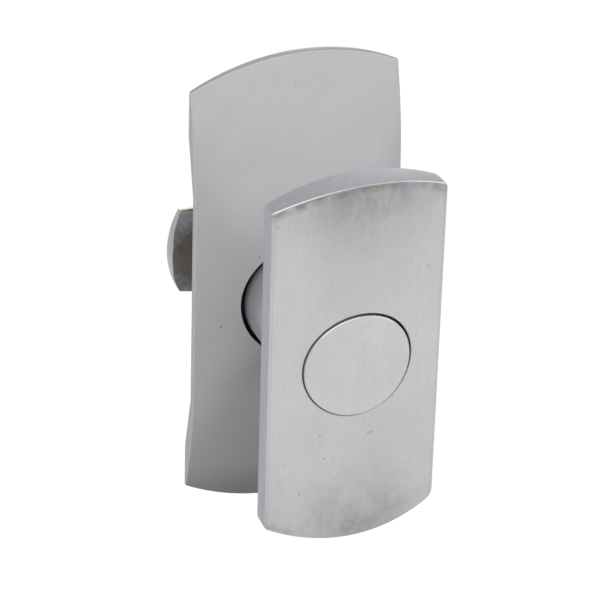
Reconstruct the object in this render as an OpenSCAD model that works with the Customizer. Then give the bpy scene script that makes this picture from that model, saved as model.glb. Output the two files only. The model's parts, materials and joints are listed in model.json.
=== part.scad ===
// Quarter-turn handle for an enclosure door. A crowned escutcheon plate lies on the door, a round hub carries
// the grip plate in front of it, a push button sits in the grip's face, and a cam turns behind the door.
// The front faces -Y and the door's outer face is the plane Y = 0, with the spindle's axis through the origin.

/* [Escutcheon plate] */
// Width of the plate
plate_w = 50; // [46:0.5:60]
// Height of the plate between its corners
plate_corner_h = 103.5; // [98:0.5:130]
// Rise of the arc at each end of the plate
plate_rise = 6.3; // [4:0.1:9]
// Height of the plate's long side edges above the door
plate_side_h = 5; // [4.6:0.1:6]
// Crown of the plate's face above its side edges
plate_crown = 6.4; // [5.5:0.1:8]
// Crown of the plate's face across its arched ends
plate_end_crown = 2.4; // [1.5:0.1:4]
// Thickness of the plate at its corners
plate_corner_t = 1; // [0.6:0.1:1.6]
// Thickness of the plate in the middle of each arched end
plate_tip_t = 1.7; // [1:0.1:2.4]
// Clear height under the middle of the plate
relief_h = 3.4; // [2.5:0.1:3.8]
// Length of each end pad, from the corner inwards
pad_l = 10; // [6:0.5:13]
// Length of the ramp from a pad up to the relief
ramp_l = 15; // [8:0.5:20]
// Depth of the two core pockets in the back of the plate
core_depth = 2.4; // [1:0.1:3]
// Distance between the two tapped fixing holes
fixing_pitch = 76; // [72:0.5:84]
// Tapping diameter of the fixing holes
fixing_d = 4.2; // [3.3:0.1:4.2]
// Depth of the fixing holes
fixing_depth = 6; // [4:0.5:6.5]

/* [Bearing barrel] */
// Outer diameter of the barrel that passes through the door
barrel_d = 28; // [27:0.5:30]
// Length of the barrel behind the door's face
barrel_l = 10.5; // [9:0.5:14]
// Diameter of the chamber that holds the lock ring
chamber_d = 22; // [21:0.5:24]
// Wall of the bearing bush
bush_wall = 2; // [1.5:0.1:2.5]
// Thickness of the bush's flange
bush_flange_t = 1.5; // [1:0.1:2]
// Thickness of the lock ring
lock_ring_t = 2.4; // [2:0.1:3]
// Thickness of the friction washer under the hub
friction_t = 1; // [0.6:0.1:1.5]
// Height of the seal ring round the hub
seal_h = 3; // [2:0.1:3.5]

/* [Grip] */
// Width of the grip
grip_w = 41; // [38:0.5:50]
// Height of the grip between its corners
grip_corner_h = 80.7; // [70:0.5:110]
// Rise of the arc at each end of the grip
grip_rise = 4.7; // [3:0.1:7]
// Thickness of the grip at its long side edges
grip_side_t = 4.6; // [4:0.1:6]
// Crown of the grip's face above its side edges
grip_crown = 2.7; // [1.5:0.1:4]
// Gap for the fingers between the crown of the plate and the grip
finger_gap = 22.9; // [18:0.1:32]
// Length of the neck cast on the back of the grip
neck_l = 4.8; // [4:0.1:8]
// Thickness of the floor under the button
floor_t = 3.5; // [3:0.1:4.5]

/* [Hub and spindle] */
// Diameter of the hub
hub_d = 28.4; // [28:0.1:32]
// Gap between the hub and the hole in the plate
hub_gap = 1.1; // [0.8:0.1:1.5]
// Diameter of the spindle's shank
shank_d = 16; // [15:0.5:17]
// Distance from the door's face to the cam
cam_reach = 16; // [15:0.5:40]
// Side of the spindle's square end
square_a = 10; // [9:0.5:11]

/* [Push button] */
// Diameter of the button
button_d = 25.2; // [24:0.1:25.6]
// Gap round the button
button_gap = 0.4; // [0.3:0.05:0.5]
// How far the button stands proud of the grip
button_proud = 0.3; // [0:0.1:0.8]
// Thickness of the button's disc
button_t = 3.4; // [2.5:0.1:4]
// Travel of the button
button_travel = 2.5; // [2:0.1:3]
// Diameter of the button's stem
stem_d = 6; // [5:0.5:6]
// Diameter of the lock pin across the stem
lock_pin_d = 3; // [2:0.1:3]
// Wire diameter of the button's spring
spring_wire = 1.2; // [0.8:0.1:1.3]

/* [Cam] */
// Width of the cam
cam_w = 21; // [19:0.5:26]
// Radius from the spindle's axis to the cam's tip
cam_tip_r = 22.3; // [20:0.1:45]
// Thickness of the cam
cam_t = 4; // [3:0.1:5]
// Width of the flat between the two lead-in ramps at the tip
cam_flat = 4.6; // [3:0.1:8]
// Slope of the lead-in ramps
ramp_angle = 29; // [15:1:35]
// Angle of the ramps' inner edges to the cam's length
crease_angle = 43; // [30:1:55]

/* [Hidden] */
$fn = 96;

// Fits
run_gap = 0.05;
free_gap = 0.3;
axial_play = 0.15;
clamp_gap = 0.3;
skin = 1;

// Heights above the door's face, along the spindle's axis towards the front
seat_t = 1.6;
plate_top = plate_side_h + plate_crown;
seat_z = relief_h + seat_t;
hub_back = seat_z + friction_t + axial_play;
grip_back = plate_top + finger_gap;
grip_edge = grip_back + grip_side_t;
grip_face = grip_edge + grip_crown;
neck_end = grip_back - neck_l;
floor_z = neck_end + floor_t;
button_face = grip_face + button_proud;
button_back = button_face - button_t;

// Plate outline and face
plate_half = plate_corner_h / 2;
hub_hole_r = hub_d / 2 + hub_gap;
end_lift = 0.3;
end_depth = 3 * plate_top;
boss_r = 5;
core_w = 26;
core_r = 3;
core_wall = 2.5;
core_from = hub_hole_r + core_wall;
core_to = fixing_pitch / 2 - boss_r - core_wall;

// Grip
recess_r = button_d / 2 + button_gap;
neck_wall = 1.2;
neck_r = max(hub_d / 2, recess_r + neck_wall);
neck_fillet = 2;
screw_d = 3;
screw_head_d = 6;
screw_l = 10;
screw_count = 4;
screw_ring_r = 9;
dowel_d = 3;
dowel_ring_r = 10.6;
dowel_in_grip = 2.4;
dowel_in_hub = 5;

// Button, stem and spring
stem_bore_r = stem_d / 2 + run_gap;
button_boss_r = 5;
button_boss_l = 2.2;
stem_sink = 1.4;
clip_t = 0.8;
clip_r = 5;
clip_groove_depth = 0.7;
clip_groove_r = stem_d / 2 - clip_groove_depth;
clip_mouth = 1.6 * clip_groove_r;
clip_notch_r = 0.9;
clip_notch_angle = 115;
clip_z = neck_end - free_gap - clip_t;
spring_seat_t = 0.8;
spring_seat_r = 5.9;
spring_top = clip_z - spring_seat_t;
spring_well_r = 6.5;
spring_well_l = 12.5;
spring_bottom = neck_end - spring_well_l;
spring_r = 5.2;
spring_turns = 5;
spring_steps = 14;

// Lock pin and the ring that it turns in
lock_wall = 1;
lock_notch_r = chamber_d / 2 - lock_wall;
lock_sweep = 90;
lock_spare = 2;
pin_r = lock_pin_d / 2;
pin_z = seat_z - pin_r - free_gap;
pin_half = lock_notch_r - 2 * free_gap;
pin_cover = 0.7;
stem_end = pin_z - pin_r - pin_cover;
lock_notch_margin = asin((pin_r + free_gap) / (shank_d / 2)) + lock_spare;

// Parts behind the plate
bush_r = shank_d / 2 + run_gap + bush_wall;
chamber_spare = 1.5;
bush_flange_top = pin_z - pin_r - button_travel - chamber_spare;
thrust_t = 1;
thrust_r = 12.5;
thrust_top = -barrel_l - axial_play;
ring_t = 1.2;
ring_top = thrust_top - thrust_t;
ring_groove_depth = 0.6;
ring_band = 2.6;
ring_ear_r = 2;
ring_eye_r = 0.85;
ring_gap_angle = 44;
bolt_d = 6;
bolt_in = 12;
bolt_head_af = 10;
bolt_head_h = 4;
bolt_chamfer = 0.2;
bolt_clear = 0.2;
cam_washer_r = 9;
cam_washer_t = 1.6;
lock_washer_r = 5.9;
lock_washer_t = 1.6;
lock_washer_slit = 0.8;
lock_washer_skew = 12;
cam_back = -cam_reach - cam_t;

// Radius of an arc with the given rise over the given chord
function arc_r(chord, rise) = (chord * chord / 4 + rise * rise) / (2 * rise);

// Centre of the circle through three points
function circle_centre(p, q, r) =
    let (d = 2 * (p[0] * (q[1] - r[1]) + q[0] * (r[1] - p[1]) + r[0] * (p[1] - q[1])))
        [(p * p * (q[1] - r[1]) + q * q * (r[1] - p[1]) + r * r * (p[1] - q[1])) / d,
            (p * p * (r[0] - q[0]) + q * q * (p[0] - r[0]) + r * r * (q[0] - p[0])) / d];

// Turns what is drawn face up so that its face looks to the front
module facing() rotate([90, 0, 0]) children();

// Round bar between two heights on the spindle's axis
module bar(r, low, high) translate([0, 0, low]) cylinder(r = r, h = high - low);

// Ring between two heights on the spindle's axis
module ring(r_out, r_in, low, high) {
    difference() {
        bar(r_out, low, high);
        bar(r_in, low - skin, high + skin);
    }
}

// Upright plate with straight sides and an arc at each end
module arched_outline(w, corner_h, rise) {
    for (side = [0, 1]) mirror([0, side]) intersection() {
        translate([0, corner_h / 2 + rise - arc_r(w, rise)]) circle(r = arc_r(w, rise), $fn = 180);
        translate([-w / 2, 0]) square([w, corner_h / 2 + rise + skin]);
    }
}

// Bar along the plate with the crown of the plate's middle
module plate_crown_bar() {
    r = arc_r(plate_w, plate_crown);
    translate([0, 0, plate_top - r]) rotate([90, 0, 0])
        cylinder(r = r, h = 2 * plate_corner_h, center = true, $fn = 240);
}

// Crowned band whose face falls from the plate's middle to its upper end. Its arc passes the middle just above
// the plate's crown, and then the heights that the face has at the corners' level and at the end's tip.
module plate_end_band() {
    middle = [0, plate_top + end_lift];
    shoulder = [plate_half, plate_corner_t + plate_end_crown];
    tip = [plate_half + plate_rise, plate_tip_t];
    centre = circle_centre(middle, shoulder, tip);
    r = norm(middle - centre);
    across = arc_r(plate_w, plate_end_crown);
    translate([0, centre[0], centre[1]]) rotate([0, 90, 0]) rotate_extrude($fn = 360) intersection() {
        translate([r - across, 0]) circle(r = across, $fn = 180);
        translate([r - end_depth, -plate_w]) square([end_depth + skin, 2 * plate_w]);
    }
}

// Plate under its crowned face, before its back is hollowed
module plate_block() {
    intersection() {
        linear_extrude(plate_top + skin) arched_outline(plate_w, plate_corner_h, plate_rise);
        plate_crown_bar();
        plate_end_band();
        mirror([0, 1, 0]) plate_end_band();
    }
}

// Hollow under the plate: a flat relief with a ramp down to the pad at each end
module relief() {
    level = plate_half - pad_l - ramp_l;
    rotate([90, 0, 90]) translate([0, 0, -plate_w])
        linear_extrude(2 * plate_w)
            polygon([[-level - ramp_l, 0], [-level, relief_h], [level, relief_h], [level + ramp_l, 0],
                [level + ramp_l, -2 * skin], [-level - ramp_l, -2 * skin]]);
}

// Rounded pocket that cores the thick part of the plate
module core_pocket() {
    translate([0, 0, relief_h - skin]) linear_extrude(core_depth + skin)
        for (x = [-1, 1], y = [0, 1]) {
            translate([x * (core_w / 2 - core_r), y == 0 ? core_from + core_r : core_to - core_r])
                circle(r = core_r);
            translate([-core_w / 2 + core_r * y, core_from + core_r * (1 - y)])
                square([core_w - 2 * core_r * y, core_to - core_from - 2 * core_r * (1 - y)]);
        }
}

module escutcheon() {
    color("#b9babb") facing() difference() {
        union() {
            difference() {
                plate_block();
                relief();
            }
            bar(barrel_d / 2, -barrel_l, relief_h + skin);
            for (side = [-1, 1]) translate([0, side * fixing_pitch / 2, 0]) bar(boss_r, 0, relief_h + skin);
        }
        bar(hub_hole_r, seat_z, plate_top + skin);
        bar(chamber_d / 2, bush_flange_top - bush_flange_t, seat_z + skin);
        bar(bush_r, -barrel_l - skin, seat_z);
        for (side = [0, 1]) mirror([0, side, 0]) core_pocket();
        for (side = [-1, 1]) translate([0, side * fixing_pitch / 2, 0])
            bar(fixing_d / 2, -skin, fixing_depth);
    }
}

module seal_ring() {
    lip = hub_gap - free_gap;
    color("#141416") facing() rotate_extrude() {
        translate([hub_hole_r - lip, seat_z]) square([lip, seal_h - lip / 2]);
        translate([hub_hole_r - lip / 2, seat_z + seal_h - lip / 2]) circle(r = lip / 2);
    }
}

module friction_washer() {
    color("#d8d5c8") facing()
        ring(hub_hole_r - hub_gap, shank_d / 2 + free_gap, seat_z, seat_z + friction_t);
}

module lock_ring() {
    color("#a8a592") facing() difference() {
        ring(chamber_d / 2, shank_d / 2 + free_gap, seat_z - lock_ring_t, seat_z);
        for (half = [0, 180]) rotate(half - lock_sweep - lock_notch_margin)
            translate([0, 0, seat_z - lock_ring_t - skin])
                rotate_extrude(angle = lock_sweep + 2 * lock_notch_margin)
                    square([lock_notch_r, lock_ring_t + 2 * skin]);
    }
}

module bearing_bush() {
    color("#2b2c2e") facing() difference() {
        union() {
            bar(chamber_d / 2, bush_flange_top - bush_flange_t, bush_flange_top);
            bar(bush_r, -barrel_l, bush_flange_top);
        }
        bar(shank_d / 2 + run_gap, -barrel_l - skin, bush_flange_top + skin);
    }
}

// Places round the spindle's axis where the grip is screwed to the hub
module at_screws() {
    for (i = [0:screw_count - 1]) rotate((i + 0.5) * 360 / screw_count)
        translate([screw_ring_r, 0, 0]) children();
}

module at_dowels() {
    for (half = [0, 180]) rotate(half) translate([dowel_ring_r, 0, 0]) children();
}

// Countersunk screw, its head flush with the floor under the button
module countersunk(gap) {
    head = (screw_head_d - screw_d) / 2;
    translate([0, 0, floor_z - head])
        cylinder(r1 = screw_d / 2 + gap, r2 = screw_head_d / 2 + gap, h = head);
    bar(screw_d / 2 + gap, floor_z - screw_l - gap, floor_z - head);
}

// Bar with the grip's crown, long enough for the whole grip
module crowned_bar(lift) {
    r = arc_r(grip_w, grip_crown);
    translate([0, 0, grip_face - r]) rotate([90, 0, 0])
        cylinder(r = r + lift, h = 2 * grip_corner_h, center = true, $fn = 240);
}

// Fillet at the root of the neck
module neck_root() {
    rotate_extrude() translate([neck_r, grip_back - neck_fillet]) difference() {
        translate([-skin, 0]) square([neck_fillet + skin, neck_fillet + skin]);
        translate([neck_fillet, 0]) circle(r = neck_fillet);
    }
}

module grip() {
    color("#c2c3c6") facing() difference() {
        union() {
            intersection() {
                translate([0, 0, grip_back]) linear_extrude(grip_face - grip_back + skin)
                    arched_outline(grip_w, grip_corner_h, grip_rise);
                crowned_bar(0);
            }
            bar(neck_r, neck_end, grip_back + skin);
            neck_root();
        }
        bar(recess_r, floor_z, grip_face + skin);
        bar(stem_bore_r, neck_end - skin, floor_z + skin);
        at_screws() countersunk(run_gap);
        at_screws() translate([0, 0, floor_z - run_gap])
            cylinder(r = screw_head_d / 2 + run_gap, h = skin);
        at_dowels() bar(dowel_d / 2, neck_end - skin, neck_end + dowel_in_grip + run_gap);
    }
}

module spindle() {
    color("#b4b5b9") facing() difference() {
        union() {
            bar(hub_d / 2, hub_back, neck_end);
            bar(shank_d / 2, -cam_reach, hub_back + skin);
            translate([-square_a / 2, -square_a / 2, cam_back + clamp_gap])
                cube([square_a, square_a, cam_t - clamp_gap + skin]);
        }
        bar(stem_bore_r, stem_end - button_travel - skin, neck_end + skin);
        bar(spring_well_r, spring_bottom, neck_end + skin);
        at_screws() bar(screw_d / 2 + run_gap, floor_z - screw_l - skin, neck_end + skin);
        at_dowels() bar(dowel_d / 2, neck_end - dowel_in_hub - run_gap, neck_end + skin);
        translate([-shank_d, -pin_r - free_gap, pin_z - button_travel - pin_r - free_gap])
            cube([2 * shank_d, lock_pin_d + 2 * free_gap, button_travel + lock_pin_d + 2 * free_gap]);
        ring(shank_d / 2 + skin, shank_d / 2 - ring_groove_depth, ring_top - ring_t, ring_top);
        bar(bolt_d / 2 + run_gap, cam_back, cam_back + clamp_gap + bolt_in + skin);
    }
}

module grip_screws() {
    color("#8f9094") facing() at_screws() difference() {
        countersunk(0);
        translate([0, 0, floor_z - screw_d / 3]) cylinder(r = screw_d / 3, h = screw_d, $fn = 6);
    }
}

module grip_dowels() {
    color("#9b9ca0") facing() at_dowels()
        bar(dowel_d / 2, neck_end - dowel_in_hub, neck_end + dowel_in_grip);
}

module thrust_washer() {
    color("#b6b196") facing() ring(thrust_r, shank_d / 2 + run_gap, thrust_top - thrust_t, thrust_top);
}

// Snap ring for the spindle's groove, open on one side, with an eared hole at each end
module retaining_ring() {
    inner = shank_d / 2 - ring_groove_depth;
    ear_at = inner + ring_band - ring_ear_r / 3;
    color("#4a4a4c") facing() translate([0, 0, ring_top - ring_t]) linear_extrude(ring_t) difference() {
        union() {
            circle(r = inner + ring_band);
            for (end = [-1, 1]) rotate(end * ring_gap_angle / 2) translate([ear_at, 0])
                circle(r = ring_ear_r);
        }
        circle(r = inner);
        polygon([[0, 0], for (end = [-1, 1])
            3 * inner * [cos(ring_gap_angle / 3), end * sin(ring_gap_angle / 3)]]);
        for (end = [-1, 1]) rotate(end * ring_gap_angle / 2) translate([ear_at, 0]) circle(r = ring_eye_r);
    }
}

// Wedge that cuts one lead-in ramp into the cam's face
module cam_ramp() {
    translate([-cam_tip_r, cam_flat / 2, -cam_reach]) rotate(crease_angle) rotate([-ramp_angle, 0, 0])
        translate([-cam_w, 0, 0]) cube([3 * cam_w, 2 * cam_w, cam_t * 2]);
}

module cam() {
    color("#8d8b80") facing() difference() {
        translate([0, 0, cam_back]) linear_extrude(cam_t) difference() {
            union() {
                circle(r = cam_w / 2);
                intersection() {
                    circle(r = cam_tip_r, $fn = 180);
                    translate([-cam_tip_r, -cam_w / 2]) square([cam_tip_r, cam_w]);
                }
            }
            square(square_a + 2 * run_gap, center = true);
        }
        for (side = [0, 1]) mirror([0, side, 0]) cam_ramp();
    }
}

module cam_washer() {
    color("#b9b28f") facing() ring(cam_washer_r, bolt_d / 2 + bolt_clear, cam_back - cam_washer_t, cam_back);
}

module spring_washer() {
    low = cam_back - cam_washer_t - lock_washer_t;
    color("#a9a58d") facing() difference() {
        ring(lock_washer_r, bolt_d / 2 + bolt_clear, low, low + lock_washer_t);
        translate([bolt_d / 4, -lock_washer_slit / 2, low - skin]) rotate([lock_washer_skew, 0, 0])
            cube([2 * lock_washer_r, lock_washer_slit, 3 * lock_washer_t]);
    }
}

module cam_bolt() {
    seat = cam_back - cam_washer_t - lock_washer_t;
    head_r = bolt_head_af / 2 / cos(30);
    color("#bcb592") facing() {
        bar(bolt_d / 2, seat - skin, cam_back + clamp_gap + bolt_in);
        intersection() {
            translate([0, 0, seat - bolt_head_h]) cylinder(r = head_r, h = bolt_head_h, $fn = 6);
            translate([0, 0, seat - bolt_head_h])
                cylinder(r1 = bolt_head_af / 2 - bolt_chamfer, r2 = bolt_head_af / 2 + bolt_head_h,
                    h = bolt_head_h);
        }
    }
}

module push_button() {
    color("#c8c9cc") facing() difference() {
        union() {
            intersection() {
                bar(button_d / 2, button_back, button_face + skin);
                crowned_bar(button_proud);
            }
            bar(button_boss_r, button_back - button_boss_l, button_back + skin);
        }
        bar(stem_d / 2, button_back - button_boss_l - skin, button_back + stem_sink);
    }
}

module button_stem() {
    color("#9fa0a4") facing() difference() {
        bar(stem_d / 2, stem_end, button_back + stem_sink);
        ring(stem_d, clip_groove_r, clip_z, clip_z + clip_t);
        translate([0, 0, pin_z]) rotate([0, 90, 0]) cylinder(r = pin_r, h = 2 * stem_d, center = true);
    }
}

// Clip pushed sideways on to the stem's groove
module stem_clip() {
    color("#4a4a4c") facing() translate([0, 0, clip_z]) linear_extrude(clip_t) difference() {
        circle(r = clip_r);
        circle(r = clip_groove_r);
        translate([0, -clip_mouth / 2]) square([2 * clip_r, clip_mouth]);
        for (end = [-1, 1]) rotate(end * clip_notch_angle) translate([clip_groove_r, 0])
            circle(r = clip_notch_r);
    }
}

module spring_seat() {
    color("#a9a58d") facing() ring(spring_seat_r, stem_d / 2 + run_gap, clip_z - spring_seat_t, clip_z);
}

module lock_pin() {
    color("#87888c") facing() translate([0, 0, pin_z]) rotate([0, 90, 0])
        cylinder(r = pin_r, h = 2 * pin_half, center = true);
}

// Coil swept along its wire's centre line
module button_spring() {
    sides = 8;
    count = spring_turns * spring_steps;
    wire = spring_wire / 2;
    low = spring_bottom + wire;
    rise = (spring_top - spring_bottom - spring_wire) / count;
    points = [for (k = [0:count], s = [0:sides - 1])
        let (turn = 360 * k / spring_steps, tilt = 360 * s / sides, r = spring_r + wire * cos(tilt))
            [r * cos(turn), r * sin(turn), low + rise * k + wire * sin(tilt)]];
    walls = [for (k = [0:count - 1], s = [0:sides - 1])
        let (a = k * sides + s, b = k * sides + (s + 1) % sides) [a, a + sides, b + sides, b]];
    ends = [[for (s = [0:sides - 1]) s], [for (s = [0:sides - 1]) count * sides + sides - 1 - s]];
    color("#8c8d90") facing() polyhedron(points, concat(walls, ends));
}

escutcheon();
seal_ring();
friction_washer();
lock_ring();
bearing_bush();
grip();
spindle();
grip_screws();
grip_dowels();
thrust_washer();
retaining_ring();
cam();
cam_washer();
spring_washer();
cam_bolt();
push_button();
button_stem();
stem_clip();
spring_seat();
lock_pin();
button_spring();
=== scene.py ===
"""Looks of a quarter-turn enclosure door handle: plates, button, hub, cam and stage around the CAD frame."""

import json
import math

import bmesh
import bpy
from mathutils import Matrix, Quaternion, Vector


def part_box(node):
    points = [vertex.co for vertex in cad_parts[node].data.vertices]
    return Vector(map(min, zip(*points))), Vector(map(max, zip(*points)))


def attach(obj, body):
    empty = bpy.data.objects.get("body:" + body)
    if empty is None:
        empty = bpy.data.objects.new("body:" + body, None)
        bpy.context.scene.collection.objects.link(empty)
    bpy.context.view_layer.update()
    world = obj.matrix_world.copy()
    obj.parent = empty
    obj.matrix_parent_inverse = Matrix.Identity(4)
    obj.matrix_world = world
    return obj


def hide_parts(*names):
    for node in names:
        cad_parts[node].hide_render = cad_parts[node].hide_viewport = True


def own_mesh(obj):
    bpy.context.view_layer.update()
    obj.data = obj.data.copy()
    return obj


bl_info = {
    "name": "Enclosure Door Handle",
    "version": (1, 0, 0),
    "blender": (4, 5, 0),
    "location": "3D View > Sidebar > Handle",
    "description": "Builds the finished plates, button, hub, cam and stage of a quarter-turn door handle",
    "category": "Object",
}

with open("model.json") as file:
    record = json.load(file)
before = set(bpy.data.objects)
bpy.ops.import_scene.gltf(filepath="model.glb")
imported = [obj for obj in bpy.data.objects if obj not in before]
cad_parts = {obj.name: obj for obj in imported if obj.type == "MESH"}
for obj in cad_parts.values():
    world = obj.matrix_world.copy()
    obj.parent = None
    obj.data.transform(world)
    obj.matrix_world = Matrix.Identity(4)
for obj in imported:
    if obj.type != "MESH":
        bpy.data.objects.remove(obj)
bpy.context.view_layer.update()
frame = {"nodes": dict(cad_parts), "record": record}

MM = 0.001
WHITE = (1.0, 1.0, 1.0)
# Edges that turn further than this stay crisp.
SHARP = math.radians(38)
# How far a cutter stands out of what it cuts.
SPARE = 1 * MM
PLATE_LOW, PLATE_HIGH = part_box("escutcheon")
GRIP_LOW, GRIP_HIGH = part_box("grip")
BUTTON_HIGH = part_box("push_button")[1]
SPINDLE_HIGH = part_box("spindle")[1]
CAM_LOW, CAM_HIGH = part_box("cam")


def length(name, description, default):
    """A length in metres that shows in the sidebar."""
    return bpy.props.FloatProperty(
        name=name, description=description, default=default, unit="LENGTH", precision=5
    )


def mm(name, description, default):
    """A length that is written in millimetres."""
    return length(name, description, default * MM)


def corners_mm(name, description, default):
    """Four lengths in millimetres, one for each corner, from the upper right round to the lower right."""
    default = [value * MM for value in default]
    return bpy.props.FloatVectorProperty(
        name=name, description=description, default=default, size=4, unit="LENGTH", precision=5
    )


def amount(name, description, default):
    """A plain number, share or strength."""
    return bpy.props.FloatProperty(name=name, description=description, default=default, min=0.0)


def angle(name, description, degrees):
    """An angle that is written in degrees."""
    return bpy.props.FloatProperty(
        name=name, description=description, default=math.radians(degrees), subtype="ANGLE"
    )


def tint(name, description, default):
    """A linear colour."""
    return bpy.props.FloatVectorProperty(
        name=name, description=description, default=default, size=3, subtype="COLOR", min=0.0, max=1.0
    )


def place(name, description, default):
    """A point in metres: x across, y into the door, z up."""
    return bpy.props.FloatVectorProperty(
        name=name, description=description, default=default, size=3, subtype="TRANSLATION", unit="LENGTH"
    )


class PlateSettings(bpy.types.PropertyGroup):
    """Sizes of the escutcheon plate."""

    width: length("Width", "Width of the plate", PLATE_HIGH.x - PLATE_LOW.x - 0.2 * MM)
    rise: mm("End rise", "Rise of the arc at each end", 6.3)
    height: length("Height", "Height between the tips of the arcs", PLATE_HIGH.z - PLATE_LOW.z - 0.3 * MM)
    corner_r: mm("Corner radius", "Rounding of the corners in plan", 0.5)
    top: mm("Crown height", "Height of the crown above the door", 11.4)
    crown: mm("Crown", "Crown of the face across the middle", 6.4)
    end_crown: mm("End crown", "Crown of the face across the ends", 2.4)
    end_lift: mm("End lift", "Height of the end bands above the crown in the middle", 0.3)
    shoulder_t: mm("Shoulder height", "Height of the face in the middle at the level of the corners", 3.4)
    tip_t: mm("Tip thickness", "Thickness in the middle of each end", 1.7)
    blend: mm("Blend", "Softness in the middle of the change from the crown to the end bands", 0.12)
    side_blend: mm("Side blend", "Further softness of that change at the sides", 0.8)
    side_edge_r: mm("Side edge radius", "Rounding of the long front edges", 0.35)
    end_edge_r: mm("End edge radius", "Rounding of the arched front edges", 0.3)
    back_edge_r: mm("Back edge radius", "Rounding of the edges on the door", 0.25)
    hole_r: mm("Hub hole radius", "Radius of the hole for the hub", 15.2)
    hole_edge_r: mm("Hole edge radius", "Rounding of the hole's edge", 0.1)
    seat: mm("Seat height", "Height of the recess floor under the hub", 5.0)
    chamber_r: mm("Chamber radius", "Radius of the chamber for the lock ring", 11.0)
    chamber_floor: mm("Chamber floor", "Depth of the chamber behind the door's face", 3.8)
    bore_r: mm("Bore radius", "Radius of the bore for the bush", 10.05)
    barrel_r: mm("Barrel radius", "Radius of the barrel behind the plate", 14.0)
    barrel_l: length("Barrel length", "Length of the barrel behind the door's face", PLATE_HIGH.y)
    barrel_edge: mm("Barrel edge", "Chamfer of the barrel's end", 0.4)
    relief: mm("Relief", "Clear height under the middle of the plate", 3.4)
    collar: mm("Collar", "Width of the metal that the relief leaves round the barrel", 0.4)
    pad_l: mm("Pad length", "Length of each end pad, from the corner inwards", 10.0)
    ramp_l: mm("Ramp length", "Length of the ramp from a pad to the relief", 15.0)
    fixing_pitch: mm("Fixing pitch", "Distance between the fixing holes", 76.0)
    fixing_r: mm("Fixing radius", "Radius of the fixing holes", 2.1)
    fixing_depth: mm("Fixing depth", "Depth of the fixing holes", 6.0)
    boss_r: mm("Boss radius", "Radius of the bosses round the fixing holes", 5.0)
    core_depth: mm("Core depth", "Depth of the core pockets", 2.4)
    core_w: mm("Core width", "Width of the core pockets", 26.0)
    core_gap: mm("Core gap", "Distance of the core pockets from the hub's hole and the bosses", 2.5)
    core_r: mm("Core radius", "Rounding of the core pockets' corners", 3.0)


class GripSettings(bpy.types.PropertyGroup):
    """Sizes of the grip plate."""

    width: length("Width", "Width of the grip", GRIP_HIGH.x - GRIP_LOW.x + 0.2 * MM)
    rise: mm("End rise", "Rise of the arc at each end", 4.7)
    height: length("Height", "Height between the tips of the arcs", GRIP_HIGH.z - GRIP_LOW.z + 0.3 * MM)
    corner_rs: corners_mm("Corner radii", "Rounding of the front's worn corners", (1.6, 0.7, 1.8, 2.6))
    face: length("Face height", "Height of the crown above the door", -GRIP_LOW.y)
    crown: mm("Crown", "Crown of the face across its width", 2.7)
    back: mm("Back height", "Height of the grip's back above the door", 34.3)
    edge_r: mm("Edge radius", "Rounding of the front edges", 0.3)
    back_edge_r: mm("Back edge radius", "Rounding of the back edges", 0.75)
    back_corner_rs: corners_mm("Back corner radii", "Rounding of the back's corners", (2.4, 1.1, 2.4, 3.0))
    side_shine: amount("Side shine", "How far the long front edges share the face's polish", 0.3)
    end_shine: amount("End shine", "How far the arched front edges share the face's polish", 0.55)
    recess_r: mm("Recess radius", "Radius of the recess for the button", 12.93)
    recess_edge_r: mm("Recess edge radius", "Rounding of the recess's edge", 0.3)
    recess_floor: mm("Recess floor", "Height of the recess's floor above the door", 33.0)
    recess_foot: mm("Recess foot", "Chamfer between the recess's wall and its floor", 0.3)
    dish: mm("Dish", "Depth of the shallow dish round the button", 0.09)
    dish_w: mm("Dish width", "Width of the shallow dish round the button", 2.2)
    neck_r: mm("Neck radius", "Radius of the neck behind the grip", 14.2)
    neck_end: length("Neck end", "Height of the neck's end above the door", -GRIP_HIGH.y)
    neck_edge: mm("Neck edge", "Chamfer of the neck's end", 0.2)
    neck_fillet: mm("Neck fillet", "Fillet at the neck's root", 2.0)


class ButtonSettings(bpy.types.PropertyGroup):
    """Sizes of the push button."""

    radius: length("Radius", "Radius of the button", BUTTON_HIGH.x)
    proud: mm("Proud", "How far the button stands proud of the grip", 0.3)
    thickness: mm("Thickness", "Thickness of the disc", 3.4)
    edge_r: mm("Edge radius", "Rounding of the button's edge", 0.3)
    edge_shine: amount("Edge shine", "How far that edge shares the face's polish", 0.5)
    back_edge_r: mm("Back edge radius", "Rounding of the edges behind", 0.2)
    boss_r: mm("Boss radius", "Radius of the boss behind the disc", 5.0)
    bore_r: mm("Bore radius", "Radius of the bore for the stem", 3.0)
    bore_in: mm("Bore depth", "Depth of that bore in the disc", 1.4)
    sit_x: mm("Sit across", "How far the button sits off the middle of its recess, across", -0.13)
    sit_y: mm("Sit up", "How far the button sits off the middle of its recess, upwards", -0.1)


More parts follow.
